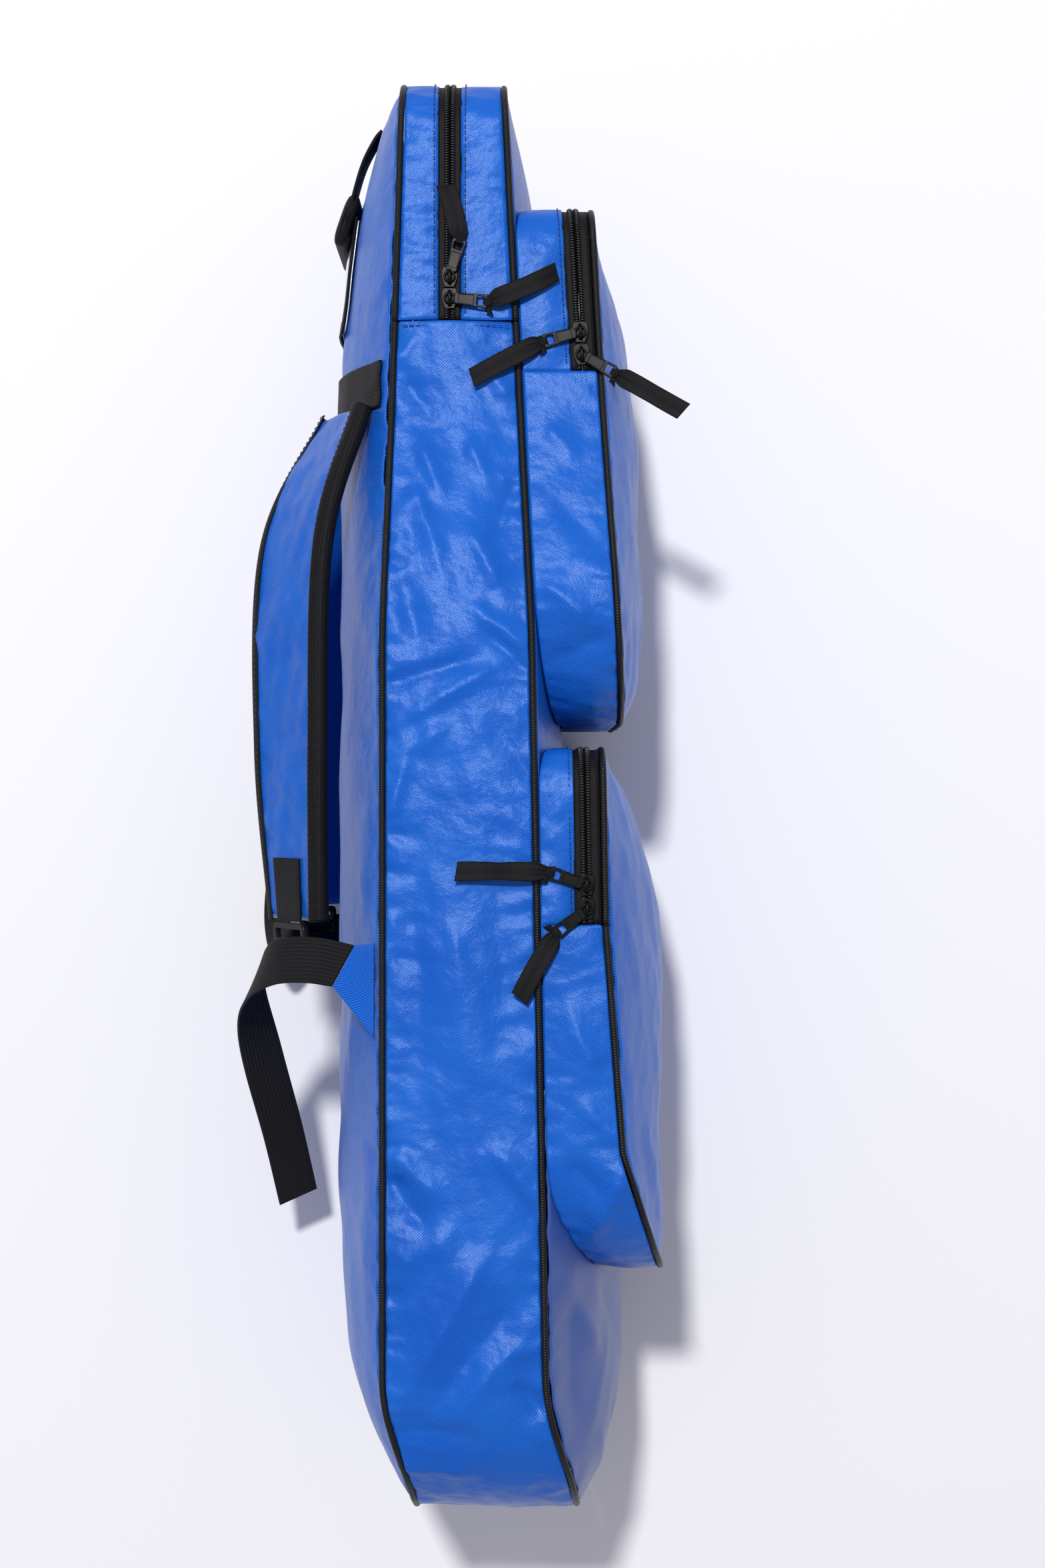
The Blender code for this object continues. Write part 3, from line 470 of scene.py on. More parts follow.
# %% Ribbed black
def ribbed_black(name, ridge_pitch, thread_pitch, depth, tone, roughness=0.55, gloss=0.14):
    finish, shader = new_finish(name)
    uv = cloth_uv(finish)
    ridges = wave(finish, uv, ridge_pitch, "X")
    threads = wave(finish, uv, thread_pitch, "Y")
    fuzz = add_node(finish, "ShaderNodeTexNoise", None, Vector=uv, Scale=900.0).outputs[0]
    height = blend_of(finish, blend_of(finish, ridges, threads, 0.5), fuzz, 0.25)
    set_input(finish, shader, "Base_Color", mix_colour(finish, height, (tone * 0.45, tone * 0.45, tone * 0.5, 1.0),
                                                       (tone * 1.7, tone * 1.7, tone * 1.9, 1.0)))
    set_input(finish, shader, "Roughness", spread(finish, fuzz, roughness - 0.1, roughness + 0.12))
    shader.inputs["Specular IOR Level"].default_value = gloss
    emboss(finish, shader, height, depth, 0.9)
    return finish


webbing = ribbed_black("ribbed_webbing", 0.0021, 0.0009, 0.0005, 0.007)
binding = ribbed_black("ribbed_binding", 0.0016, 0.0013, 0.0004, 0.006)
piping_black = ribbed_black("covered_cord", 0.0034, 0.0014, 0.0005, 0.004, 0.40, 0.3)
tape_black = ribbed_black("zip_tape", 0.0012, 0.0010, 0.0002, 0.006)
ribbon_black = ribbed_black("woven_ribbon", 0.0060, 0.0006, 0.00015, 0.007, 0.66)
band_webbing = ribbed_black("band_webbing", 0.0009, 0.0021, 0.0005, 0.007)
print("made six ribbed blacks")

# %% [markdown]
# The zip coil is bare nylon wire, smoother than cloth, and the sliders, pulls and buckles are moulded or
# lacquered. They share a recipe too: an even black with a faint unevenness in its gloss.

# %% Smooth black
def smooth_black(name, tone, rough_low, rough_high, grain, gloss):
    finish, shader = new_finish(name)
    place = add_node(finish, "ShaderNodeTexCoord").outputs["Object"]
    mottle = add_node(finish, "ShaderNodeTexNoise", None, Vector=place, Scale=grain, Detail=4.0).outputs[0]
    set_input(finish, shader, "Base_Color", mix_colour(finish, mottle, (tone * 0.8, tone * 0.8, tone * 0.85, 1.0),
                                                       (tone * 1.2, tone * 1.2, tone * 1.25, 1.0)))
    set_input(finish, shader, "Roughness", spread(finish, mottle, rough_low, rough_high))
    shader.inputs["Specular IOR Level"].default_value = gloss
    return finish


coil_black = smooth_black("nylon_coil", 0.014, 0.24, 0.32, 60.0, 0.6)
slider_black = smooth_black("lacquered_metal", 0.003, 0.34, 0.44, 90.0, 0.14)
buckle_black = smooth_black("moulded_nylon", 0.006, 0.34, 0.46, 120.0, 0.2)
print("made three smooth blacks")

# %% [markdown]
# The window is clear vinyl over a white card: nearly white, smooth, with a clear coat that catches the light.

# %% Window
clear_window, shader = new_finish("clear_window")
uv = cloth_uv(clear_window)
waves = add_node(clear_window, "ShaderNodeTexNoise", None, Vector=uv, Scale=45.0, Detail=2.0).outputs[0]
set_input(clear_window, shader, "Base_Color", mix_colour(clear_window, waves, (0.70, 0.72, 0.76, 1.0), (0.80,
    0.81, 0.84, 1.0)))
set_input(clear_window, shader, "Roughness", spread(clear_window, waves, 0.10, 0.22))
shader.inputs["Coat Weight"].default_value = 0.7
shader.inputs["Coat Roughness"].default_value = 0.06
emboss(clear_window, shader, waves, 0.001, 0.25)
print("made", clear_window.name)

# %% [markdown]
# The gusset is one long strip that runs down the near side, round the rounded racket-head end and up the far
# side. A run of points with outward directions describes any such strip, and a wall is the run swept along X.

# %% Runs and walls
def outline_run(shape, start, way, step=0.0025):
    """Points from the near side round the top (way 1) or the bottom (way -1) to the far side."""
    bottom, top, low_corner, high_corner = shape
    radius, centre = (high_corner, top - high_corner) if way > 0 else (low_corner, bottom + low_corner)
    side_y = np.linspace(start, centre, max(2, round(abs(centre - start) / step)))
    angle = np.linspace(0, np.pi / 2, max(8, round(radius * np.pi / 2 / step)))[1:]
    arc_y = centre + way * radius * np.sin(angle)
    arc_dz = half_width(arc_y) - radius * (1 - np.cos(angle))
    flat_dz = np.linspace(arc_dz[-1], 0, max(3, round(arc_dz[-1] / step)))[1:]
    y = np.concatenate([side_y, arc_y, np.full(len(flat_dz), arc_y[-1])])
    dz = np.concatenate([half_width(side_y), arc_dz, flat_dz])
    y, dz = np.concatenate([y, y[-2::-1]]), np.concatenate([dz, -dz[-2::-1]])
    ty, tz = np.gradient(y), np.gradient(dz)
    size = np.hypot(ty, tz)
    length = np.concatenate([[0.0], np.cumsum(np.hypot(np.diff(y), np.diff(dz)))])
    return {"y": y, "dz": dz, "ny": -way * tz / size, "nz": way * ty / size, "s": length}


def wall(run, rear, front, columns):
    """X of each point of a strip between two edges, and how far each point is along the strip."""
    share = np.linspace(0.0, 1.0, columns)
    x = np.asarray(rear)[:, None] * (1 - share) + np.asarray(front)[:, None] * share
    return x, np.broadcast_to(run["s"][:, None], x.shape), share[None, :]


def lifted(run, x, lift):
    """Points of a strip pushed outwards by a lift."""
    y = run["y"][:, None] + run["ny"][:, None] * lift
    z = MID + run["dz"][:, None] + run["nz"][:, None] * lift
    return np.stack(np.broadcast_arrays(x, y, z), -1)


print("run of", len(outline_run(MAIN, ZIP_END, -1)["y"]), "points")

# %% [markdown]
# The creases in the photograph are typed as a table: where each starts and ends on the near side in X and Y, how
# wide it is and how high. Positive rows are ridges and negative rows are dents. The taper towards the grip
# pulls the cloth into long folds; the full, round head end has broad, soft ones.

# %% Gusset
GUSSET_CREASES = (
    (-21, 191, -9, 163, 5, 1.5), (5, 192, 16, 172, 5, 1.4), (30, 172, 19, 140, 6, -1.6), (-24, 168, -10, 128, 7, 1.6),
    (6, 144, 21, 116, 6, 1.5), (-37, 63, 8, 76, 4, -1.7), (-23, 47, 21, 73, 4, 1.5), (9, 102, 37, 80, 5, 1.8),
    (14, 92, 36, 70, 3, -1.3), (-30, 120, -20, 84, 7, -1.2), (-34, 24, -6, 40, 5, 1.2), (-36, -8, -28, 22, 4, 1.5),
    (22, 40, 38, 12, 6, -1.2), (-28, 226, -14, 205, 6, -1.3), (10, 236, 30, 214, 6, 1.3), (-34, 236, -22, 250, 4, 1.2),
    (-38, -195, -17, -222, 7, -2.2), (-34, -186, -12, -206, 6, 1.6), (-30, -314, 16, -236, 12, 2.6),
    (-16, -322, 30, -262, 9, -1.6), (2, -316, 38, -276, 9, 1.8), (30, -306, 47, -322, 6, -2.4),
    (-34, -246, -4, -226, 9, 1.4),
    (18, -180, 42, -214, 8, 1.8), (26, -196, 45, -230, 5, -1.5), (-2, -60, 6, -150, 14, 1.3),
    (-24, -40, -18, -150, 12, -1.2),
    (20, -20, 26, -120, 11, -1.0), (-30, -330, 10, -334, 5, -1.4), (-36, -352, 4, -356, 4, 1.3),
)
run = outline_run(MAIN, ZIP_END - 0.0004, -1, 0.003)
rear, front = rear_seam(run["y"]) + SEAM_INSET, front_seam(run["y"]) - SEAM_INSET
x, s, share = wall(run, rear, front, 30)
near = ease((run["nz"][:, None] + 0.1) / 0.6)
lift = 0.0016 * np.sin(np.pi * share) + 2.2 * creases(x, run["y"][:, None], GUSSET_CREASES) * near
lift = lift + 0.0005 * ripples(x, s * 0.6, 0.055, 3) + 0.0003 * ripples(x, s, 0.017, 4)
gather = puckers(s, x - rear[:, None], 5) + puckers(s, front[:, None] - x, 6)
lift = lift + 0.0016 * gather - 0.0006
lift = np.where(near > 0.5, lift, np.minimum(lift, 0.0004))
gusset = cloth("gusset", [(lifted(run, x, lift), (0, -1, 0))], blue, CLOTH, smooth=True)
dress(gusset, "bag", "blue_polyester", "side_gusset_near", "side_gusset_far", "bottom_gusset")
print("gusset", len(gusset.data.polygons), "faces")

# %% [markdown]
# The back is one pillow of padded cloth.

# %% Panels
def panel(shape, low, high, face, columns, step=0.003):
    """Y and distance from the middle plane of a panel's points, denser round its corners."""
    bottom, top, low_corner, high_corner = shape
    start, end = max(low, bottom + low_corner), min(high, top - high_corner)
    y = [np.linspace(start, end, max(2, round((end - start) / step)))]
    for corner, centre, way, there in ((low_corner, start, -1, low < bottom + low_corner),
                                       (high_corner, end, 1, high > top - high_corner)):
        if there:
            angle = np.linspace(0, np.pi / 2, max(6, round(corner * 1.57 / step)))[1:]
            y.append(centre + way * (corner - SEAM_INSET) * np.sin(angle))
    y = np.sort(np.concatenate(y))[:, None]
    dz = edge(shape, y, SEAM_INSET) * np.linspace(-1, 1, columns)
    return y, dz, face(y, dz)


def edge_distance(shape, y, dz):
    """About how far a point is from its panel's seam."""
    return np.minimum(edge(shape, y) - np.abs(dz), np.minimum(y - shape[0], shape[1] - y))


def panel_points(x, y, dz):
    return np.stack(np.broadcast_arrays(x, y, MID + dz), -1)


def back_cloth(y, dz):
    """X of the back's cloth with its soft swells and the gathers along its seams."""
    away = edge_distance(MAIN, y, dz)
    swell = 0.0010 * ripples(y, dz, 0.11, 11) + 0.0004 * ripples(y, dz, 0.035, 12)
    swell = swell * ease(away / 0.02) + 0.0020 * puckers(y + dz * 0.2, away, 13, 0.02, 0.016)
    return back_face(y, dz) - swell


y, dz, x = panel(MAIN, BOTTOM, TOP, back_cloth, 80, 0.0038)
back = cloth("back_cloth", [(panel_points(x, y, dz), (-1, 0, 0))], blue, CLOTH, smooth=True)
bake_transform(back)
dress(back, None, "blue_polyester", "back_panel", "back_panel_top")
print("back", len(back.data.polygons), "faces")

# %% Front and base panels
y, dz, x = panel(MAIN, BASE_SEAM + 0.0003, TOP, front_face, 84, 0.004)
front_cloth = cloth("front_cloth", [(panel_points(x, y, dz), (1, 0, 0))], blue, CLOTH)
dress(front_cloth, "bag", "blue_polyester", "front_panel")

BASE_CREASES = (
    (-250, 128, -300, 92, 9, 3.2), (-262, 118, -330, 120, 12, -3.0), (-290, 70, -340, 108, 10, 2.4),
    (-330, 60, -366, 40, 9, -2.2), (-250, 30, -340, -20, 16, 2.4), (-280, -60, -350, -30, 14, -2.2),
    (-262, 84, -300, 40, 10, -2.4), (-345, 90, -372, 62, 6, 1.8), (-255, -100, -330, -124, 10, 2.2),
)
y, dz, x = panel(MAIN, BOTTOM, BASE_SEAM - 0.0003, front_face, 80, 0.0035)
away = edge_distance(MAIN, y, dz)
swell = creases(y, dz, BASE_CREASES) + 0.0007 * ripples(y, dz, 0.07, 21)
swell = swell * ease(away / 0.015) + 0.0012 * puckers(y + dz * 0.3, away, 22, 0.026, 0.014)
base = cloth("base_cloth", [(panel_points(x + swell, y, dz), (1, 0, 0))], coated, CLOTH, smooth=True)
dress(base, "bag", "blue_coated", "base_panel")
print("base", len(base.data.polygons), "faces")

# %% [markdown]
# Piping is a cord sewn into a strip of black tape, and it makes the dark outline of every seam. A ring of points
# is carried along the seam, and the ribs of the tape come from the finish.

# %% Piping
CORD = 0.0018
CORD_INSET = 0.0012


def tube(path, side, up, radius, ring=12):
    """A round tube through points: side and up span each ring, and both ends close to a point."""
    angle = np.linspace(0, 2 * np.pi, ring + 1)
    size = np.broadcast_to(radius, len(path)).astype(float).copy()
    centre = np.concatenate([path[:1], path, path[-1:]])
    size = np.concatenate([[0.0], size, [0.0]])[:, None, None]
    side, up = (np.concatenate([v[:1], v, v[-1:]])[:, None, :] for v in (side, up))
    wheel = np.cos(angle)[None, :, None] * side + np.sin(angle)[None, :, None] * up
    return centre[:, None, :] + wheel * size


def piping(name, shape, seam, start, way, back_to_front):
    """A covered cord round one end of a shape, just inside its seam; back_to_front is -1 at a rear seam."""
    run = outline_run(shape, start, way, 0.003)
    wobble = 0.00025 * ripples(run["s"], np.zeros(1), 0.03, len(name))
    inset = CORD_INSET + wobble
    y, dz = run["y"] - run["ny"] * inset, run["dz"] - run["nz"] * inset
    path = np.stack([seam(run["y"]) - back_to_front * CORD_INSET, y, MID + dz], -1)
    out = np.stack([np.zeros(len(y)), run["ny"], run["nz"]], -1)
    along_x = np.broadcast_to((1.0, 0.0, 0.0), out.shape)
    middle = out[len(y) // 2]
    return cloth(name, [(tube(path, out, along_x, CORD), middle)], piping_black, weld=True)


for name, seam, way, sign, body, nodes in (
    ("rear_cord", rear_seam, -1, -1, "bag", ["rear_piping"]),
    ("rear_cord_top", rear_seam, 1, -1, "rear_flap", ["rear_piping_top"]),
    ("front_cord", front_seam, -1, 1, "bag", ["front_piping"]),
    ("front_cord_top", front_seam, 1, 1, "bag", []),
):
    start = ZIP_END + (0.0002 if way > 0 else -0.0002)
    dress(piping(name, MAIN, seam, start, way, sign), body, "black_webbing", *nodes)
print("piped the main compartment")

# %% [markdown]
# Each front pocket is a shallow box: a wall that follows the bag's outline, a pillow front and a zip round the
# top half. The front is again one sheet, over both the pocket's panel and its flap.

# %% Pockets
ZIP_INSET = 0.011
TAPE_HALF = 0.0061
UPPER_ZIP_END, LOWER_ZIP_END = 0.231, -0.064
LOWER_CREASES = ((70, -230, 90, -190, 7, 2.0), (60, -190, 76, -206, 5, -1.6), (66, -160, 86, -178, 5, 1.2),
                 (58, -110, 72, -140, 6, 1.2), (62, -40, 78, -62, 5, -1.0), (60, 10, 72, -12, 5, 1.0))
UPPER_CREASES = ((44, 116, 70, 96, 6, 1.6), (50, 74, 78, 88, 6, -1.6), (48, 200, 62, 184, 5, 1.2),
                 (52, 160, 72, 140, 6, -1.2), (60, 128, 84, 118, 5, 1.2), (38, 300, 56, 290, 5, 1.0))
FLAP_PLACE = {"upper": (UPPER, upper_seam, upper_face, UPPER_ZIP_END, 0.0968, UPPER_CREASES),
              "lower": (LOWER, lower_seam, lower_face, LOWER_ZIP_END, 0.1118, LOWER_CREASES)}


def pocket_wall(shape, seam, zip_end, table, seed):
    """Both halves of a pocket's wall: below the zip's end up to the piping, above it up to the zip tape."""
    patches = []
    for way, reach in ((-1, SEAM_INSET), (1, ZIP_INSET + TAPE_HALF)):
        run = outline_run(shape, zip_end, way, 0.003)
        rear = front_face(run["y"], run["dz"]) + 0.0013
        front = np.maximum(seam(run["y"]) - reach, rear + 0.001)
        x, s, share = wall(run, rear, front, 17)
        near = ease((run["nz"][:, None] + 0.1) / 0.6)
        lift = 0.0012 * np.sin(np.pi * share) + 1.8 * creases(x, run["y"][:, None], table) * near
        lift = lift + 0.0005 * ripples(x, s * 0.7, 0.045, seed) - 0.0004
        lift = lift + 0.001 * (puckers(s, x - rear[:, None], seed + 1) + puckers(s, front[:, None] - x, seed + 2))
        lift = lift * ease(np.abs(run["y"] - zip_end)[:, None] / 0.004)
        points = lifted(run, x, np.where(near > 0.5, lift, np.minimum(lift, 0.0003)))
        patches.append((points, (0, way, 0)))
    return patches


for seed, (name, (shape, seam, face, zip_end, hinge_x, table)) in enumerate(FLAP_PLACE.items(), 31):
    sides = cloth(f"{name}_wall", pocket_wall(shape, seam, zip_end, table, seed), blue, CLOTH,
                  weld=True, smooth=True)
    dress(sides, "bag", "blue_polyester", f"{name}_pocket_gusset")
    y, dz, x = panel(shape, shape[0], shape[1], face, 76, 0.0038)
    away = edge_distance(shape, y, dz)
    swell = (0.0012 * ripples(y, dz, 0.09, seed + 10) + 0.0005 * ripples(y, dz, 0.03, seed + 11)) * ease(away / 0.02)
    swell = swell + 0.0016 * puckers(y + dz * 0.2, away, seed + 12, 0.02, 0.014)
    pillow = cloth(f"{name}_pillow", [(panel_points(x + swell, y, dz), (1, 0, 0))], blue, CLOTH, smooth=True)
    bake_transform(pillow)
    dress(pillow, None, "blue_polyester", f"{name}_pocket_panel", f"{name}_pocket_flap")
    for way, body, node in ((-1, "bag", "piping"), (1, f"{name}_flap", "flap_piping")):
        cord = piping(f"{name}_cord_{body}", shape, seam, zip_end + way * 0.0002, way, 1)
        dress(cord, body, "black_webbing", f"{name}_pocket_{node}")
print("pockets made")

# %% [markdown]
# The main zip's two halves lie between cloth strips. The strip behind the zip belongs to the opening top, and the
# one in front stays with the bag.

# %% Zip strips
MAIN_ZIP_X = -0.005
run = outline_run(MAIN, ZIP_END + 0.0004, 1, 0.0022)
flat = np.full(len(run["y"]), MAIN_ZIP_X)
for name, first, last, body, node, seed in (
    ("rear_strip", rear_seam(run["y"]) + SEAM_INSET, flat - TAPE_HALF, "rear_flap", "zip_strip_rear", 51),
    ("front_strip", flat + TAPE_HALF, front_seam(run["y"]) - SEAM_INSET, "bag", "zip_strip_front", 54),
):
    x, s, share = wall(run, first, last, 12)
    lift = 0.0006 * np.sin(np.pi * share) + 0.0003 * ripples(x, s * 0.7, 0.04, seed) - 0.0004
    lift = lift + 0.0008 * (puckers(s, x - first[:, None], seed) + puckers(s, last[:, None] - x, seed + 1))
    strip = cloth(name, [(lifted(run, x, np.minimum(lift, 0.0008)), (0, 1, 0))], blue, CLOTH)
    dress(strip, body, "blue_polyester", node)
print("zip strips made")

# %% [markdown]
# A coil zip is two woven tapes, each with a spiral of nylon wire sewn along its edge. The spiral is a thin tube
# led round and round as it travels, with a pitch of 1.4 mm, and each half rides with the cloth it is sewn to.

# %% Zips
COIL_PITCH = 0.0014
WIRE = 0.00036


def zip_half(run, zip_x, side, start_phase, tape_width):
    """Tape and coil on one side of a zip line; side is +1 towards the front."""
    first = zip_x + side * 0.0003
    x, s, share = wall(run, first, zip_x + side * tape_width, 4)
    tape = lifted(run, x, np.full(x.shape, -0.0009))
    length = run["s"][-1]
    t = np.linspace(0.0006, length - 0.0006, int(length / COIL_PITCH * 7))
    turn = 2 * np.pi * t / COIL_PITCH + start_phase
    y, dz, ny, nz, x = (np.interp(t, run["s"], v) for v in (run["y"], run["dz"], run["ny"], run["nz"], zip_x))
    out = np.stack([np.zeros(len(t)), ny, nz], -1)
    across = np.broadcast_to((1.0, 0.0, 0.0), out.shape)
    travel = np.cross(across, out)
    wide, tall = side * (0.0016 + 0.00125 * np.cos(turn)), -0.0003 + 0.0008 * np.sin(turn)
    path = np.stack([x + wide, y + ny * tall, MID + dz + nz * tall], -1)
    spoke = across * (side * np.cos(turn))[:, None] + out * np.sin(turn)[:, None]
    middle = len(t) // 2
    return tape, tube(path, spoke, travel, WIRE, 5), spoke[middle]


for name, shape, start, line, halves in (
    ("main", MAIN, ZIP_END, None, (("rear", -1, "rear_flap"), ("front", 1, "bag"))),
    ("upper", UPPER, UPPER_ZIP_END, upper_seam, (("inner", -1, "bag"), ("outer", 1, "upper_flap"))),
    ("lower", LOWER, LOWER_ZIP_END, lower_seam, (("inner", -1, "bag"), ("outer", 1, "lower_flap"))),
):
    run = outline_run(shape, start + 0.0004, 1, 0.003)
    zip_x = line(run["y"]) - ZIP_INSET if line else np.full(len(run["y"]), MAIN_ZIP_X)
    for half, side, body in halves:
        to_piping = ZIP_INSET - SEAM_INSET - 0.0001
        width = to_piping if line and side > 0 else TAPE_HALF + 0.0004
        tape, coil, spoke = zip_half(run, zip_x, side, 0.0 if side > 0 else np.pi, width)
        piece = cloth(f"{name}_tape_{half}", [(tape, (0, 1, 0))], tape_black, 0.0006)
        node = f"main_zip_{half}" if name == "main" else f"{name}_pocket_zip_{half}"
        dress(piece, body, "zip_black", node)
        wire = cloth(f"{name}_coil_{half}", [(coil, spoke)], coil_black, weld=True)
        dress(wire, body, "zip_black")
print("three zips made")

# %% [markdown]
# A shoulder strap is a foam pad in a cloth sleeve, bound along both edges with folded black tape. It is thick in the
# middle and thin at the bound edges, so the section is a flat bar with round edges, carried along a smooth line
# through four stations. The pad is modelled directly, which keeps its edges exactly under the binding.

# %% Strap pads
PAD_HALF = 0.0045
PAD_ROUND = 0.006
STATIONS = ((0.2124, -0.0462, 0.1075, -0.0716, 0.0475), (0.140, -0.066, 0.1135, -0.106, 0.0655),
            (0.030, -0.069, 0.1135, -0.109, 0.0715), (-0.064, -0.069, 0.1075, -0.101, 0.0625))


def smooth_line(stations, rows):
    """A Catmull-Rom line through rows of numbers, evenly sampled."""
    p = np.asarray(stations, float)
    p = np.concatenate([[2 * p[0] - p[1]], p, [2 * p[-1] - p[-2]]])
    t = np.linspace(0, len(p) - 3, rows)
    i = np.minimum(t.astype(int), len(p) - 4)
    f = (t - i)[:, None]
    a, b, c, d = p[i], p[i + 1], p[i + 2], p[i + 3]
    return 0.5 * (2 * b + (c - a) * f + (2 * a - 5 * b + 4 * c - d) * f * f + (3 * b - 3 * c + d - a) * f ** 3)


def unit(v):
    return v / np.linalg.norm(v, axis=-1, keepdims=True)


def strap_rows(side, rows=120):
    """Upper edge, direction across, width and outward direction of a strap, row by row; side is 1 near, -1 far."""
    y, x0, z0, x1, z1 = smooth_line(STATIONS, rows).T
    upper = np.stack([x0, y, MID + side * z0], -1)
    lower = np.stack([x1, y, MID + side * z1], -1)
    across = unit(lower - upper)
    out = unit(np.cross(np.gradient(upper + lower, axis=0), across) * side)
    out = out * np.sign(-out[:, :1])
    return upper, across, np.linalg.norm(lower - upper, axis=1), out


def pad_round(distance, reach=PAD_ROUND):
    return np.sqrt(1 - (1 - np.clip(distance / reach, 0, 1)) ** 2)


def strap_point(frame, off, height):
    """Points at a distance from the upper edge and a height above the pad's middle surface."""
    upper, across, width, out = frame
    return upper[:, None] + across[:, None] * off[..., None] + out[:, None] * (PAD_HALF + height)[..., None]


def pad_grid(frame, seed):
    width, rows = frame[2], len(frame[2])
    sweep = (1 - np.cos(np.linspace(0, np.pi, 34))) / 2
    off = sweep[None, :] * width[:, None]
    close = pad_round(np.minimum(np.arange(rows), np.arange(rows)[::-1])[:, None] * 0.0023, 0.006)
    half = PAD_HALF * pad_round(np.minimum(off, width[:, None] - off)) * close
    along = frame[0][:, 1][:, None]
    soft = ease(np.minimum(off, width[:, None] - off) / 0.012)
    bump = soft * (0.0007 * ripples(along, off, 0.05, seed) + 0.0004 * ripples(along * 1.6, off, 0.02, seed + 1))
    outer, inner = strap_point(frame, off, half + bump), strap_point(frame, off, -half)
    return outer, inner


def binding_grid(frame, lower_edge):
    """Folded tape over one edge of the pad, from face to face."""
    width = frame[2]
    lap = np.linspace(-0.0085, 0.0085, 23)
    off = np.abs(lap) - 0.0006
    height = np.sign(lap) * (PAD_HALF + 0.0007) * pad_round(np.abs(lap), PAD_ROUND + 0.0005)
    off = np.broadcast_to(off, (len(width), len(lap)))
    off = width[:, None] - off if lower_edge else off
    return strap_point(frame, off, np.broadcast_to(height, off.shape))


for name, side in (("near", 1), ("far", -1)):
    frame_rows = strap_rows(side)
    outer, inner = pad_grid(frame_rows, 61)
    faces = [(outer, frame_rows[3][60]), (inner, -frame_rows[3][60])]
    pad = cloth(f"{name}_pad", faces, blue, weld=True, smooth=True)
    dress(pad, f"{name}_strap", "blue_polyester", f"{name}_strap_pad")
    for label, lower_edge in (("upper", False), ("lower", True)):
        toward = frame_rows[1][60] * (1 if lower_edge else -1)
        tape = cloth(f"{name}_binding_{label}", [(binding_grid(frame_rows, lower_edge), toward)], binding, 0.0006)
        dress(tape, f"{name}_strap", "black_webbing")
print("pads", round(float(frame_rows[2].max()), 4), "m wide at most")

# %% [markdown]
# Below the pad a short webbing tab holds a ladder-lock, a moulded frame with cross bars, and the adjuster webbing
# comes up from a blue triangle in the side seam, runs through the lock and hangs free. Webbing is stiff, so each
# length is a strip swept along a few centres with a direction across it at each.

# %% Webbing
def strip_grid(centres, across, width, rows, columns=9):
    """A flat strip through centres, each with its own direction across."""
    middle, turn = smooth_line(centres, rows), unit(smooth_line(across, rows))
    share = np.linspace(-0.5, 0.5, columns)
    return middle[:, None] + turn[:, None] * (share * width)[None, :, None]


def strip(name, grid, finish, thickness, rise):
    """Webbing from a grid, thick on both sides of it and rounded at its edges; rise tells which way it faces."""
    item = cloth(name, [(grid, rise)], finish, thickness)
    item.modifiers["thickness"].offset = 0.0
    round_edge = item.modifiers.new("edges", "BEVEL")
    round_edge.width = thickness * 0.3
    round_edge.segments = 2
    round_edge.angle_limit = math.radians(50)
    return item


NEAR_LINE = ((-0.0613, -0.0865, 0.2713), (-0.079, -0.084, 0.264), (-0.099, -0.086, 0.250), (-0.112, -0.096, 0.228),
             (-0.118, -0.115, 0.195), (-0.116, -0.150, 0.150), (-0.109, -0.198, 0.104), (-0.103, -0.242, 0.070))
FAR_LINE = ((-0.0613, -0.0865, 0.0137), (-0.079, -0.084, 0.021), (-0.099, -0.086, 0.035), (-0.112, -0.090, 0.060),
            (-0.119, -0.070, 0.036), (-0.116, -0.035, 0.014), (-0.110, 0.015, 0.004), (-0.104, 0.075, 0.003))
TURNS = ((0.48, 0.88, 0), (0.20, 0.98, 0), (0.10, 0.99, 0), (0.35, 0.94, 0), (0.62, 0.78, 0), (0.88, 0.48, 0),
         (0.90, 0.44, 0), (0.91, 0.41, 0))
for name, line, side in (("near", NEAR_LINE, 1), ("far", FAR_LINE, -1)):
    webbing_strip = strip(f"{name}_webbing", strip_grid(line, TURNS, 0.025, 150), webbing, 0.0014, (-1, 0, side))
    dress(webbing_strip, f"{name}_strap", "black_webbing", f"{name}_adjuster")
    frame_rows = strap_rows(side, 200)
    low = np.searchsorted(-frame_rows[0][:, 1], 0.028)
    tail = tuple(v[low:] for v in frame_rows)
    middle = tail[2][:, None] / 2 + np.linspace(-0.0125, 0.0125, 9)
    tab_grid = strap_point(tail, middle, np.full(middle.shape, PAD_HALF + 0.0011))
    tab = strip(f"{name}_tab_strip", tab_grid, webbing, 0.0014, tail[3][0])
    dress(tab, f"{name}_strap", "black_webbing", f"{name}_strap_tab")
    base_edge = np.linspace((-0.0442, -0.124, MID + side * 0.1393), (-0.0442, -0.074, MID + side * 0.1393), 16)
    apex = np.array((-0.0607, -0.0865, MID + side * 0.1288))
    apex_edge = np.linspace(apex - 0.0125 * np.array((0.48, 0.88, 0)), apex + 0.0125 * np.array((0.48, 0.88, 0)), 16)
    share = np.linspace(0, 1, 12)[:, None, None]
    triangle = base_edge[None] * (1 - share) + apex_edge[None] * share
    anchor = strip(f"{name}_triangle", triangle, blue, 0.0018, (0, 0, side))
    dress(anchor, "bag", "blue_polyester", f"{name}_anchor_tab")
print("webbing made")

# %% [markdown]
# Sliders, pulls and buckles are cut from thick plate, so they start as flat curves: an outline with holes, filled,
# extruded and bevelled. The mesh is then turned into place, and the object's own transform stays at zero.

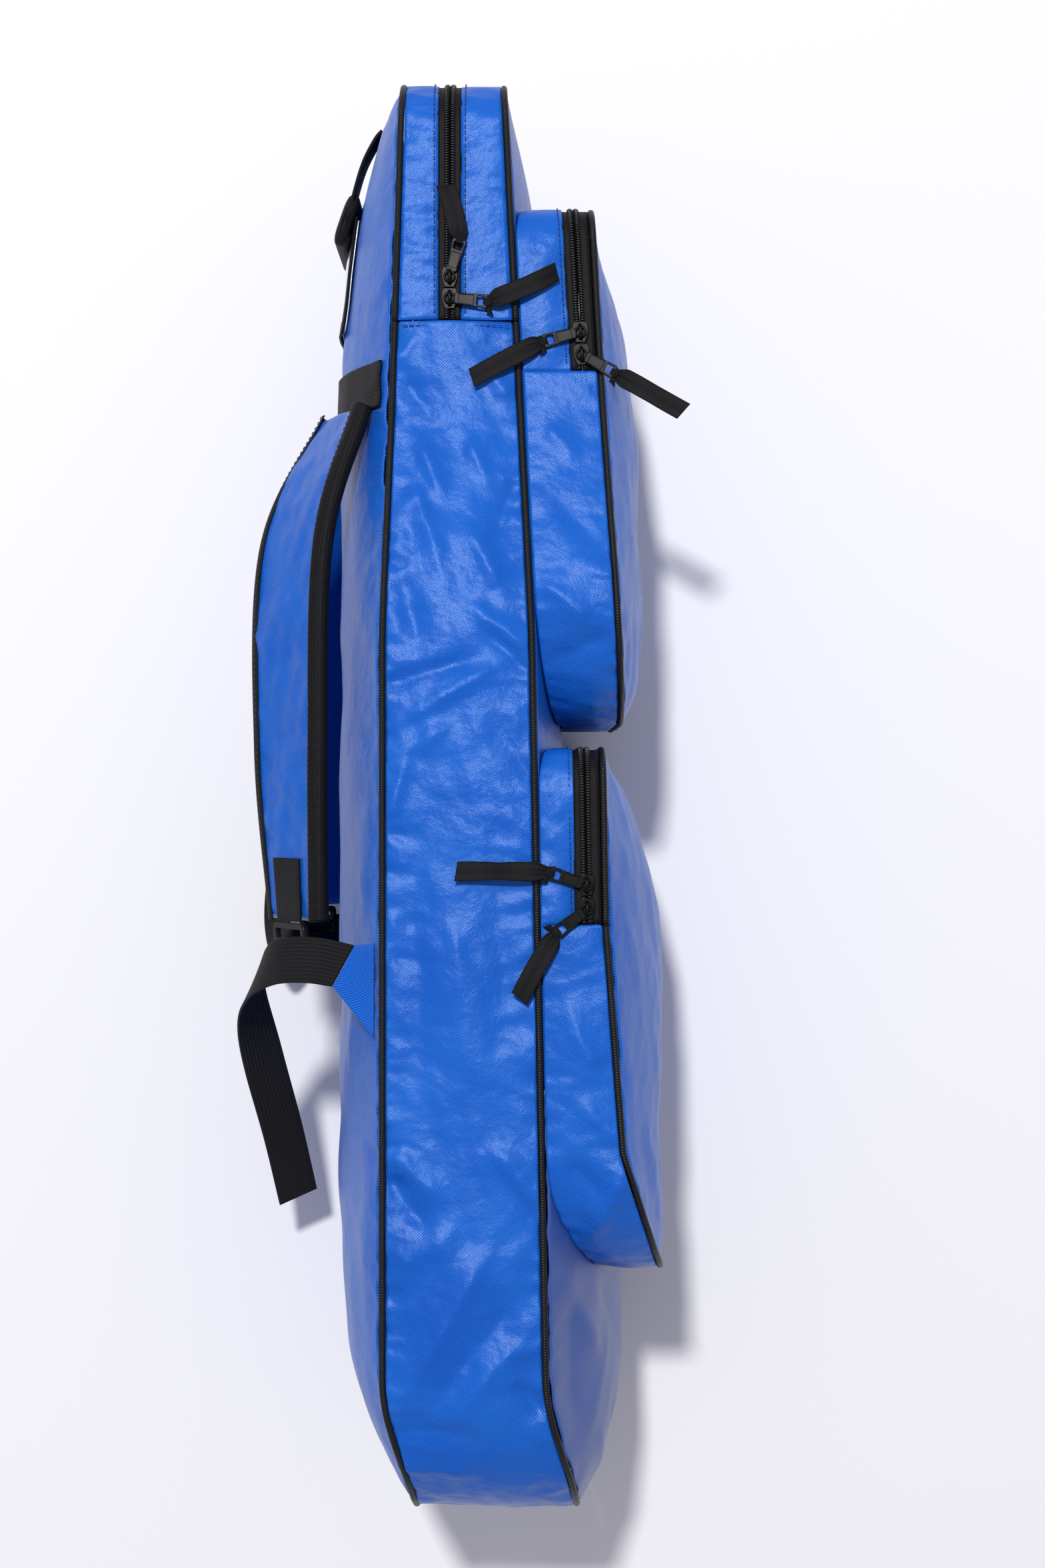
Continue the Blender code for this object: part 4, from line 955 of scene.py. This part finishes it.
# %% Plates
def plate(name, loops, thickness, bevel, finish, place):
    """A bevelled plate from closed outlines, the first being the rim and the others holes."""
    curve = bpy.data.curves.new(name, "CURVE")
    curve.dimensions = "2D"
    curve.fill_mode = "BOTH"
    curve.extrude = thickness / 2 - bevel
    curve.bevel_depth = bevel
    curve.bevel_resolution = 2
    curve.offset = -bevel
    for loop in loops:
        spline = curve.splines.new("POLY")
        spline.points.add(len(loop) - 1)
        spline.points.foreach_set("co", np.column_stack([loop, np.zeros(len(loop)), np.ones(len(loop))]).ravel())
        spline.use_cyclic_u = True
    shape = bpy.data.objects.new(name, curve)
    mesh = bpy.data.meshes.new_from_object(shape)
    bpy.data.objects.remove(shape)
    mesh.transform(place)
    mesh.polygons.foreach_set("use_smooth", np.ones(len(mesh.polygons), bool))
    mesh.set_sharp_from_angle(angle=math.radians(40))
    mesh.materials.clear()
    mesh.materials.append(finish)
    item = bpy.data.objects.new(name, mesh)
    bpy.context.scene.collection.objects.link(item)
    return item


def round_box(left, right, low, high, radius, taper=1.0):
    """Corners of a rounded rectangle; its left end is narrowed by the taper."""
    angle = np.linspace(0, np.pi / 2, 5)
    quarter = radius * np.stack([np.cos(angle), np.sin(angle)], -1)
    turn = np.array(((0, -1), (1, 0)))
    corners, middles = [], ((right - radius, high - radius), (left + radius, high - radius),
                            (left + radius, low + radius), (right - radius, low + radius))
    for middle in middles:
        corners.append(np.array(middle) + quarter)
        quarter = quarter @ turn.T
    loop = np.concatenate(corners)
    narrow = taper + (1 - taper) * (loop[:, 0] - left) / (right - left)
    return np.column_stack([loop[:, 0], (low + high) / 2 + (loop[:, 1] - (low + high) / 2) * narrow])


def stand(origin, ahead, up=(0, 0, 1)):
    """A matrix whose X runs ahead and whose Z is up, at an origin."""
    ahead, up = Vector(ahead).normalized(), Vector(up).normalized()
    side = up.cross(ahead).normalized()
    turn = Matrix((ahead, side, ahead.cross(side))).transposed()
    return Matrix.Translation(origin) @ turn.to_4x4()


def moved(grid, place):
    """Grid points taken through a matrix."""
    m = np.array(place)
    return grid @ m[:3, :3].T + m[:3, 3]


print("plates ready")

# %% [markdown]
# A slider is a shield-shaped plate over the coil with an arch on top; the pull's eye sits under the arch. The pull
# has a raised rim, a sunk panel and a window at its end, where the ribbon is knotted. Every slider has its own
# place, direction of pull and length and bend of ribbon, so these are rows of a table.

# %% Sliders and pulls
SLIDERS = (
    ("main_slider_first", (-0.005, 0.2695, 0.2605), (0, 1, 0), -6.0, 28.0, 0.041, (0.0, -8.0, 34.0)),
    ("main_slider_second", (-0.005, 0.281, 0.2605), (0, 1, 0), 74.0, 30.0, 0.030, (4.0, -8.0, 14.0)),
    ("upper_slider_first", (0.06553, 0.2395, 0.2605), (-0.05547, 0.99846, 0), -29.82, 0.0, 0.043, (8.0, -6.0, 4.0)),
    ("upper_slider_second", (0.06486, 0.2515, 0.2605), (-0.05547, 0.99846, 0), 195.18, 12.0, 0.044, (-6.0, 4.0, 10.0)),
    ("lower_slider_first", (0.06785, -0.0555, 0.285), (-0.0172, 0.99985, 0), 217.99, 22.0, 0.040, (0.0, 6.0, -12.0)),
    ("lower_slider_second", (0.06764, -0.043, 0.285), (-0.0172, 0.99985, 0), 160.99, 18.0, 0.050, (0.0, 34.0, 6.0)),
)
BAR_HEIGHT = 0.0039
SHIELD = np.array(((0.0055, -0.0034), (0.0055, 0.0034), (0.0032, 0.0043), (-0.0008, 0.0041), (-0.0042, 0.0030),
                   (-0.0055, 0.0024), (-0.0055, -0.0024), (-0.0042, -0.0030), (-0.0008, -0.0041), (0.0032, -0.0043)))
ARCH = np.array(((0.0040, 0, 0.0012), (0.0036, 0, 0.0034), (0.0022, 0, 0.0049), (0, 0, 0.0053), (-0.0022, 0, 0.0049),
                 (-0.0036, 0, 0.0034), (-0.0040, 0, 0.0012)))


def arch_grid():
    path = smooth_line(ARCH, 25)
    ahead = unit(np.gradient(path, axis=0))
    across = np.broadcast_to((0.0, 1.0, 0.0), path.shape)
    return tube(path, across * 1.25, np.cross(ahead, across) * 0.75, 0.0008, 10)


def eye_grid(outer, inner):
    angle = np.linspace(0, 2 * np.pi, 33)
    spoke = np.stack([np.cos(angle), np.sin(angle), np.zeros(33)], -1)
    radius = (outer + inner) / 2
    wheel = np.linspace(0, 2 * np.pi, 11)
    ring = spoke[:, None] * (radius + (outer - inner) / 2 * np.cos(wheel))[None, :, None]
    ring[..., 2] += 0.0007 * np.sin(wheel)
    return ring


for name, place, zip_way, angle, bend, length, twist in SLIDERS:
    body = stand(place, zip_way)
    top = plate(f"{name}_shield", [SHIELD], 0.0011, 0.0003, slider_black, body @ Matrix.Translation((0, 0, 0.00125)))
    dress(top, name, "slider_black", name)
    under = plate(f"{name}_under", [SHIELD * 0.9], 0.0009, 0.0003, slider_black,
        body @ Matrix.Translation((0, 0, -0.0026)))
    dress(under, name, "slider_black")
    neck = plate(f"{name}_neck", [round_box(0.0026, 0.0052, -0.0011, 0.0011, 0.0005)], 0.0032, 0.0002, slider_black,
                 body @ Matrix.Translation((0, 0, -0.0007)))
    dress(neck, name, "slider_black")
    arch = cloth(f"{name}_arch", [(moved(arch_grid(), body), (0, 0, 1))], slider_black, weld=True)
    dress(arch, name, "slider_black")
    aim = Vector((math.cos(math.radians(angle)), math.sin(math.radians(angle)), 0))
    grip = stand(Vector(place) + Vector((0, 0, BAR_HEIGHT - 0.0006)), aim)
    pull_body = name.replace("slider", "pull")
    rim = plate(f"{name}_rim", [round_box(0.0026, 0.0205, -0.0039, 0.0039, 0.0012, 0.72),
                                round_box(0.0050, 0.0128, -0.0025, 0.0025, 0.0005, 0.86),
                                round_box(0.0148, 0.0188, -0.0024, 0.0024, 0.0007)], 0.0016, 0.0004, slider_black, grip)
    dress(rim, pull_body, "slider_black", f"{name}_pull")
    sunk = plate(f"{name}_sunk", [round_box(0.0044, 0.0134, -0.0029, 0.0029, 0.0005, 0.86)], 0.0008, 0.0001,
                 slider_black, grip)
    dress(sunk, pull_body, "slider_black")
    eye = cloth(f"{name}_eye", [(moved(eye_grid(0.0033, 0.0019), grip), (0, 0, 1))], slider_black, weld=True)
    dress(eye, pull_body, "slider_black")
print(len(SLIDERS), "sliders and pulls")

# %% [markdown]
# The ribbons are stiff woven tape, drawn through the window and knotted. A strip with its own bend and twist makes
# the tail, narrow and pleated where the knot gathers it; a crumpled ball is the knot, with a cut end beside it.

# %% Ribbons
RIBBON_WIDTH = 0.0104


def ribbon_grid(length, bend, twist):
    """Tail of a ribbon in the pull's own frame: X ahead, Y across, Z up."""
    f = np.linspace(0, 1, 46)
    turn = np.radians(bend) * (0.82 + 0.18 * f)
    middle = np.stack([0.0196 + f * np.cos(turn) * length, f * np.sin(turn) * length,
                       0.0010 * np.sin(f * 5.0) + 0.0040 * f], -1)
    ahead = unit(np.gradient(middle, axis=0))
    roll = np.radians(np.interp(f, (0.15, 0.55, 1.0), twist))[:, None]
    flat = np.cross((0.0, 0.0, 1.0), ahead)
    across = flat * np.cos(roll) + np.cross(ahead, flat) * np.sin(roll)
    width = RIBBON_WIDTH * (0.40 + 0.60 * ease((f + 0.02) / 0.20))
    share = np.linspace(-0.5, 0.5, 15)
    pleat = 0.0007 * np.sin(share * 22)[None, :] * (1 - ease(f / 0.35))[:, None]
    slant = 0.0022 * share[None, :] * ease((f - 0.75) / 0.25)[:, None]
    up = np.cross(ahead, across)
    return (middle[:, None] + across[:, None] * (share[None, :] * width[:, None])[..., None]
            + up[:, None] * pleat[..., None] + ahead[:, None] * slant[..., None])


def knot_grid(seed):
    """A crumpled ball, wider than long, just outside the pull's window."""
    lat, lon = np.meshgrid(np.linspace(-np.pi / 2, np.pi / 2, 22), np.linspace(0, 2 * np.pi, 33))
    ball = np.stack([np.cos(lat) * np.cos(lon), np.cos(lat) * np.sin(lon), np.sin(lat)], -1)
    crumple = 1 + 0.13 * ripples(ball[..., 0] + 0.6 * ball[..., 2], ball[..., 1], 0.9, seed, 7) * np.cos(lat)
    crumple[-1] = crumple[0]
    return np.array((0.0209, 0.0, 0.0)) + ball * crumple[..., None] * np.array((0.0022, 0.0031, 0.0018))


def loop_grid():
    """The turn of ribbon through the pull's window, round its end bar."""
    angle = np.linspace(0.25, 2 * np.pi - 0.25, 25)
    middle = np.stack([0.0197 - 0.0017 * np.cos(angle), np.zeros(25), 0.0013 * np.sin(angle)], -1)
    share = np.linspace(-0.0016, 0.0016, 7)
    return middle[:, None] + np.stack([np.zeros(7), share, np.zeros(7)], -1)[None]


def cut_end_grid(side):
    """The ribbon's short cut end, sticking out of the knot."""
    f, share = np.linspace(0, 1, 8)[:, None], np.linspace(-0.5, 0.5, 7)[None]
    x = 0.0212 + 0.0009 * f + share * (0.0018 + 0.0026 * f)
    y = side * (0.0020 + 0.0042 * f + 0.0012 * share * f)
    return np.stack(np.broadcast_arrays(x, y, 0.0004 + 0.0012 * f * np.cos(share * 4)), -1)


for seed, (name, place, zip_way, angle, bend, length, twist) in enumerate(SLIDERS, 71):
    aim = (math.cos(math.radians(angle)), math.sin(math.radians(angle)), 0)
    grip = stand(Vector(place) + Vector((0, 0, BAR_HEIGHT - 0.0006)), aim)
    pull_body = name.replace("slider", "pull")
    tail = cloth(f"{name}_tail", [(moved(ribbon_grid(length, bend, twist), grip), (0, 0, 1))], ribbon_black, 0.0005)
    dress(tail, pull_body, "ribbon_black", f"{name}_ribbon")
    knot = cloth(f"{name}_knot", [(moved(knot_grid(seed), grip), grip.to_3x3() @ Vector((-1, 0, 0)))], ribbon_black,
                 weld=True)
    dress(knot, pull_body, "ribbon_black")
    loop = cloth(f"{name}_loop", [(moved(loop_grid(), grip), (0, 0, 1))], ribbon_black, 0.0004)
    dress(loop, pull_body, "ribbon_black")
    cut = cloth(f"{name}_cut", [(moved(cut_end_grid(-1 if seed % 2 else 1), grip), (0, 0, 1))], ribbon_black, 0.0004)
    dress(cut, pull_body, "ribbon_black")
print("ribbons made")

# %% [markdown]
# The ladder-lock is a moulded frame with a ridged thumb lip. It lies in the plane of the pad's outer face, just below
# the tab, so its place comes from the last row of the strap.

# %% Ladder-locks
for name, side in (("near", 1), ("far", -1)):
    upper, across, width, out = (v[-1] for v in strap_rows(side))
    ahead = unit(np.cross(across, out))
    ahead = ahead * np.sign(-ahead[1])
    place = stand(upper + across * width / 2 + out * (2 * PAD_HALF + 0.0008), ahead, out)
    lock = plate(f"{name}_lock", [round_box(0.0010, 0.0262, -0.0165, 0.0165, 0.003),
                                  round_box(0.0042, 0.0092, -0.0132, 0.0132, 0.001),
                                  round_box(0.0124, 0.0170, -0.0132, 0.0132,
                                      0.001)], 0.0034, 0.0008, buckle_black, place)
    dress(lock, f"{name}_strap", "slider_black", f"{name}_ladder_lock")
    for row in range(3):
        ridge = plate(f"{name}_lock_ridge_{row}", [round_box(0.0188 + 0.0023 * row, 0.0202 + 0.0023 * row,
            -0.014, 0.014, 0.0006)],
                      0.001, 0.0003, buckle_black, place @ Matrix.Translation((0, 0, 0.0021)))
        dress(ridge, f"{name}_strap", "slider_black")
print("ladder-locks made")

# %% [markdown]
# The back carries a webbing band that takes the pull of the straps, a clear window for a name card and a grab handle.
# The band and the window follow the back's own cloth, lifted by their thickness, so that nothing floats or sinks in.

# %% Band and window
BAND_Y = 0.2255
BAND_REACH = float(half_width(BAND_Y)) - 0.0068
WINDOW_LOW, WINDOW_HIGH, WINDOW_REACH = 0.264, 0.330, 0.046
BINDING_WIDTH = 0.008


def on_back(ys, dzs, lift):
    """A patch of points lying over the back's cloth."""
    y, dz = np.asarray(ys)[:, None], np.asarray(dzs)[None, :]
    y, dz = np.broadcast_arrays(y, dz)
    return panel_points(back_cloth(y, dz) - lift, y, dz), (-1, 0, 0)


band = cloth("band", [on_back(np.linspace(BAND_Y - 0.0125, BAND_Y + 0.0125, 12), np.linspace(-BAND_REACH,
    BAND_REACH, 90),
                              0.0022)], band_webbing, 0.0014)
dress(band, "bag", "black_webbing", "back_band")

window_y = np.linspace(WINDOW_LOW + 0.002, WINDOW_HIGH - 0.002, 24)
window_dz = np.linspace(-WINDOW_REACH + 0.002, WINDOW_REACH - 0.002, 34)
pane, face_way = on_back(window_y, window_dz, 0.0016)
bow = (1 - (window_dz / WINDOW_REACH) ** 2)[None, :] * (1 - ((window_y - 0.297) / 0.033) ** 2)[:, None]
pane[..., 0] -= 0.0016 * np.clip(bow, 0, 1)
window = cloth("window", [(pane, face_way)], clear_window, 0.0006)
dress(window, "rear_flap", "clear_window", "id_window")

inner = WINDOW_REACH - BINDING_WIDTH
tall = np.linspace(WINDOW_LOW, WINDOW_HIGH, 24)
patches = [on_back(tall, np.linspace(side * WINDOW_REACH, side * inner, 6), 0.0034) for side in (-1, 1)]
for start in (WINDOW_LOW, WINDOW_HIGH - BINDING_WIDTH):
    patches.append(on_back(np.linspace(start, start + BINDING_WIDTH, 6), np.linspace(-inner, inner, 30), 0.0034))
frame_tape = cloth("window_binding", patches, binding, 0.0012)
dress(frame_tape, "rear_flap", "black_webbing")
print("band", round(2 * BAND_REACH, 4), "m, window", round(WINDOW_HIGH - WINDOW_LOW, 4), "m")

# %% [markdown]
# The handle is one length of webbing: two flat legs sewn to the back, and a middle folded double for the hand. It is
# soft, but it keeps its shape, so legs and grip are made once and swing together about the sewn ends.

# %% Grab handle
LEAN = math.radians(19.0)
HANDLE_ROOT = np.array((-0.0497, 0.374, MID))
DOWN = np.array((-math.sin(LEAN), -math.cos(LEAN), 0.0))
OFF = np.array((-math.cos(LEAN), math.sin(LEAN), 0.0))
ALONG_Z = np.array((0.0, 0.0, 1.0))


def handle_point(down, off, z):
    return HANDLE_ROOT + DOWN * down + OFF * off + ALONG_Z * z


for name, side in (("near", 1), ("far", -1)):
    bends = ((-0.006, -0.0026), (0.0, -0.0004), (0.014, 0.0016), (0.030, 0.0014), (0.046, 0.0))
    centres = [handle_point(d, o, side * (0.034 - 0.006 * max(0.0, d - 0.02) / 0.03)) for d, o in bends]
    leg = strip(f"handle_leg_{name}", strip_grid(centres, [ALONG_Z] * len(centres), 0.022, 40), webbing, 0.0018, OFF)
    dress(leg, "grab_handle", "black_webbing", *(["grab_handle"] if side > 0 else []))

around = np.linspace(0, 2 * np.pi, 41)
long_way = 0.047 + 0.0150 * np.sign(np.cos(around)) * np.abs(np.cos(around)) ** 0.55
thick_way = 0.0042 * np.sign(np.sin(around)) * np.abs(np.sin(around)) ** 0.6
reach = np.concatenate([[-0.0425], np.linspace(-0.0425, 0.0425, 50), [0.0425]])
size = np.concatenate([[0.0], pad_round(0.0435 - np.abs(reach[1:-1]), 0.008), [0.0]])
grip_grid = np.stack([[handle_point(0.047 + (d - 0.047) * f, 0.0006 + o * f, z) for d, o in zip(long_way, thick_way)]
                      for z, f in zip(reach, size)])
grip = cloth("handle_grip", [(grip_grid, DOWN * -1)], webbing, weld=True)
dress(grip, "grab_handle", "black_webbing")
print("handle", round(0.0655, 4), "m long")

# %% [markdown]
# Stitching is what makes cloth look sewn. On the bag every zip tape is topstitched in blue thread and each binding in
# black. A stitch is a short tube that dips into the cloth at both ends; a row of them follows any line of points.

# %% Threads
STITCH, STITCH_GAP, THREAD = 0.0024, 0.0010, 0.0003
TOPSTITCH = TAPE_HALF + 0.0022
BINDING_STITCH = 0.0066


def thread_finish(name, low, high):
    finish, shader = new_finish(name)
    place = add_node(finish, "ShaderNodeTexCoord").outputs["Object"]
    twist = add_node(finish, "ShaderNodeTexNoise", None, Vector=place, Scale=2200.0).outputs[0]
    set_input(finish, shader, "Base_Color", mix_colour(finish, twist, low, high))
    set_input(finish, shader, "Roughness", spread(finish, twist, 0.38, 0.55))
    return finish


def stitches(name, rows, finish, body, slot):
    """Thread along rows of points with outward directions, as one piece that moves with a body."""
    patches = []
    for path, out in rows:
        s = np.concatenate([[0.0], np.cumsum(np.linalg.norm(np.diff(path, axis=0), axis=1))])
        for start in np.arange(0.001, s[-1] - STITCH, STITCH + STITCH_GAP):
            t = start + np.array([0.0, 0.2, 0.5, 0.8, 1.0]) * STITCH
            line, up = (np.stack([np.interp(t, s, v[:, k]) for k in range(3)], -1) for v in (path, out))
            up = unit(up)
            side = unit(np.cross(np.gradient(line, axis=0), up))
            line = line + up * np.array([-0.0003, 0.0002, 0.0003, 0.0002, -0.0003])[:, None]
            patches.append((tube(line, side, up, THREAD, 5), -side[2] - up[2]))
    dress(cloth(name, patches, finish, weld=True), body, slot)
    return len(patches)


def run_row(run, x, lift):
    """A row along a strip at one X."""
    return lifted(run, np.asarray(x)[:, None], lift)[:, 0], np.stack([0 * run["y"], run["ny"], run["nz"]], -1)


blue_thread = thread_finish("blue_thread", (0.001, 0.018, 0.15, 1.0), (0.004, 0.045, 0.27, 1.0))
black_thread = thread_finish("black_thread", (0.010, 0.010, 0.011, 1.0), (0.035, 0.035, 0.038, 1.0))
count = 0
run = outline_run(MAIN, ZIP_END + 0.003, 1, 0.003)
flat = np.full(len(run["y"]), MAIN_ZIP_X)
for name, x, body in (("rear", flat - TOPSTITCH, "rear_flap"), ("front", flat + TOPSTITCH, "bag")):
    count += stitches(f"main_zip_thread_{name}", [run_row(run, x, 0.0006)], blue_thread, body, "blue_polyester")
for name, (shape, seam, face, zip_end, hinge_x, table) in FLAP_PLACE.items():
    run = outline_run(shape, zip_end + 0.003, 1, 0.003)
    row = run_row(run, seam(run["y"]) - ZIP_INSET - TOPSTITCH, 0.0006)
    count += stitches(f"{name}_zip_thread", [row], blue_thread, "bag", "blue_polyester")
xs = np.linspace(rear_seam(0.25) + 0.005, front_seam(0.25) - 0.005, 30)
across = np.stack([xs, np.full(30, ZIP_END - 0.003), np.full(30, MID + float(half_width(0.255)) + 0.0007)], -1)
count += stitches("gusset_seam_thread", [(across, np.broadcast_to((0.0, 0.0, 1.0), (30, 3)))], blue_thread,
    "bag", "blue_polyester")
dz = np.linspace(-0.125, 0.125, 90)
y = np.full(90, BASE_SEAM + 0.004)
base_row = panel_points(front_face(y, dz) + 0.0006, y, dz)
count += stitches("base_seam_thread", [(base_row, np.broadcast_to((1.0, 0.0, 0.0), (90, 3)))], blue_thread,
    "bag", "blue_polyester")
for name, side in (("near", 1), ("far", -1)):
    frame_rows = strap_rows(side)
    width = frame_rows[2][:, None]
    rows = [(strap_point(frame_rows, off, np.full(off.shape, PAD_HALF + 0.0012))[:, 0], frame_rows[3])
            for off in (np.full(width.shape, BINDING_STITCH), width - BINDING_STITCH)]
    count += stitches(f"{name}_strap_thread", rows, black_thread, f"{name}_strap", "black_webbing")
print(count, "stitches")


# %% Finish
low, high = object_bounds()
print("visual box", [round(v, 4) for v in low], [round(v, 4) for v in high])
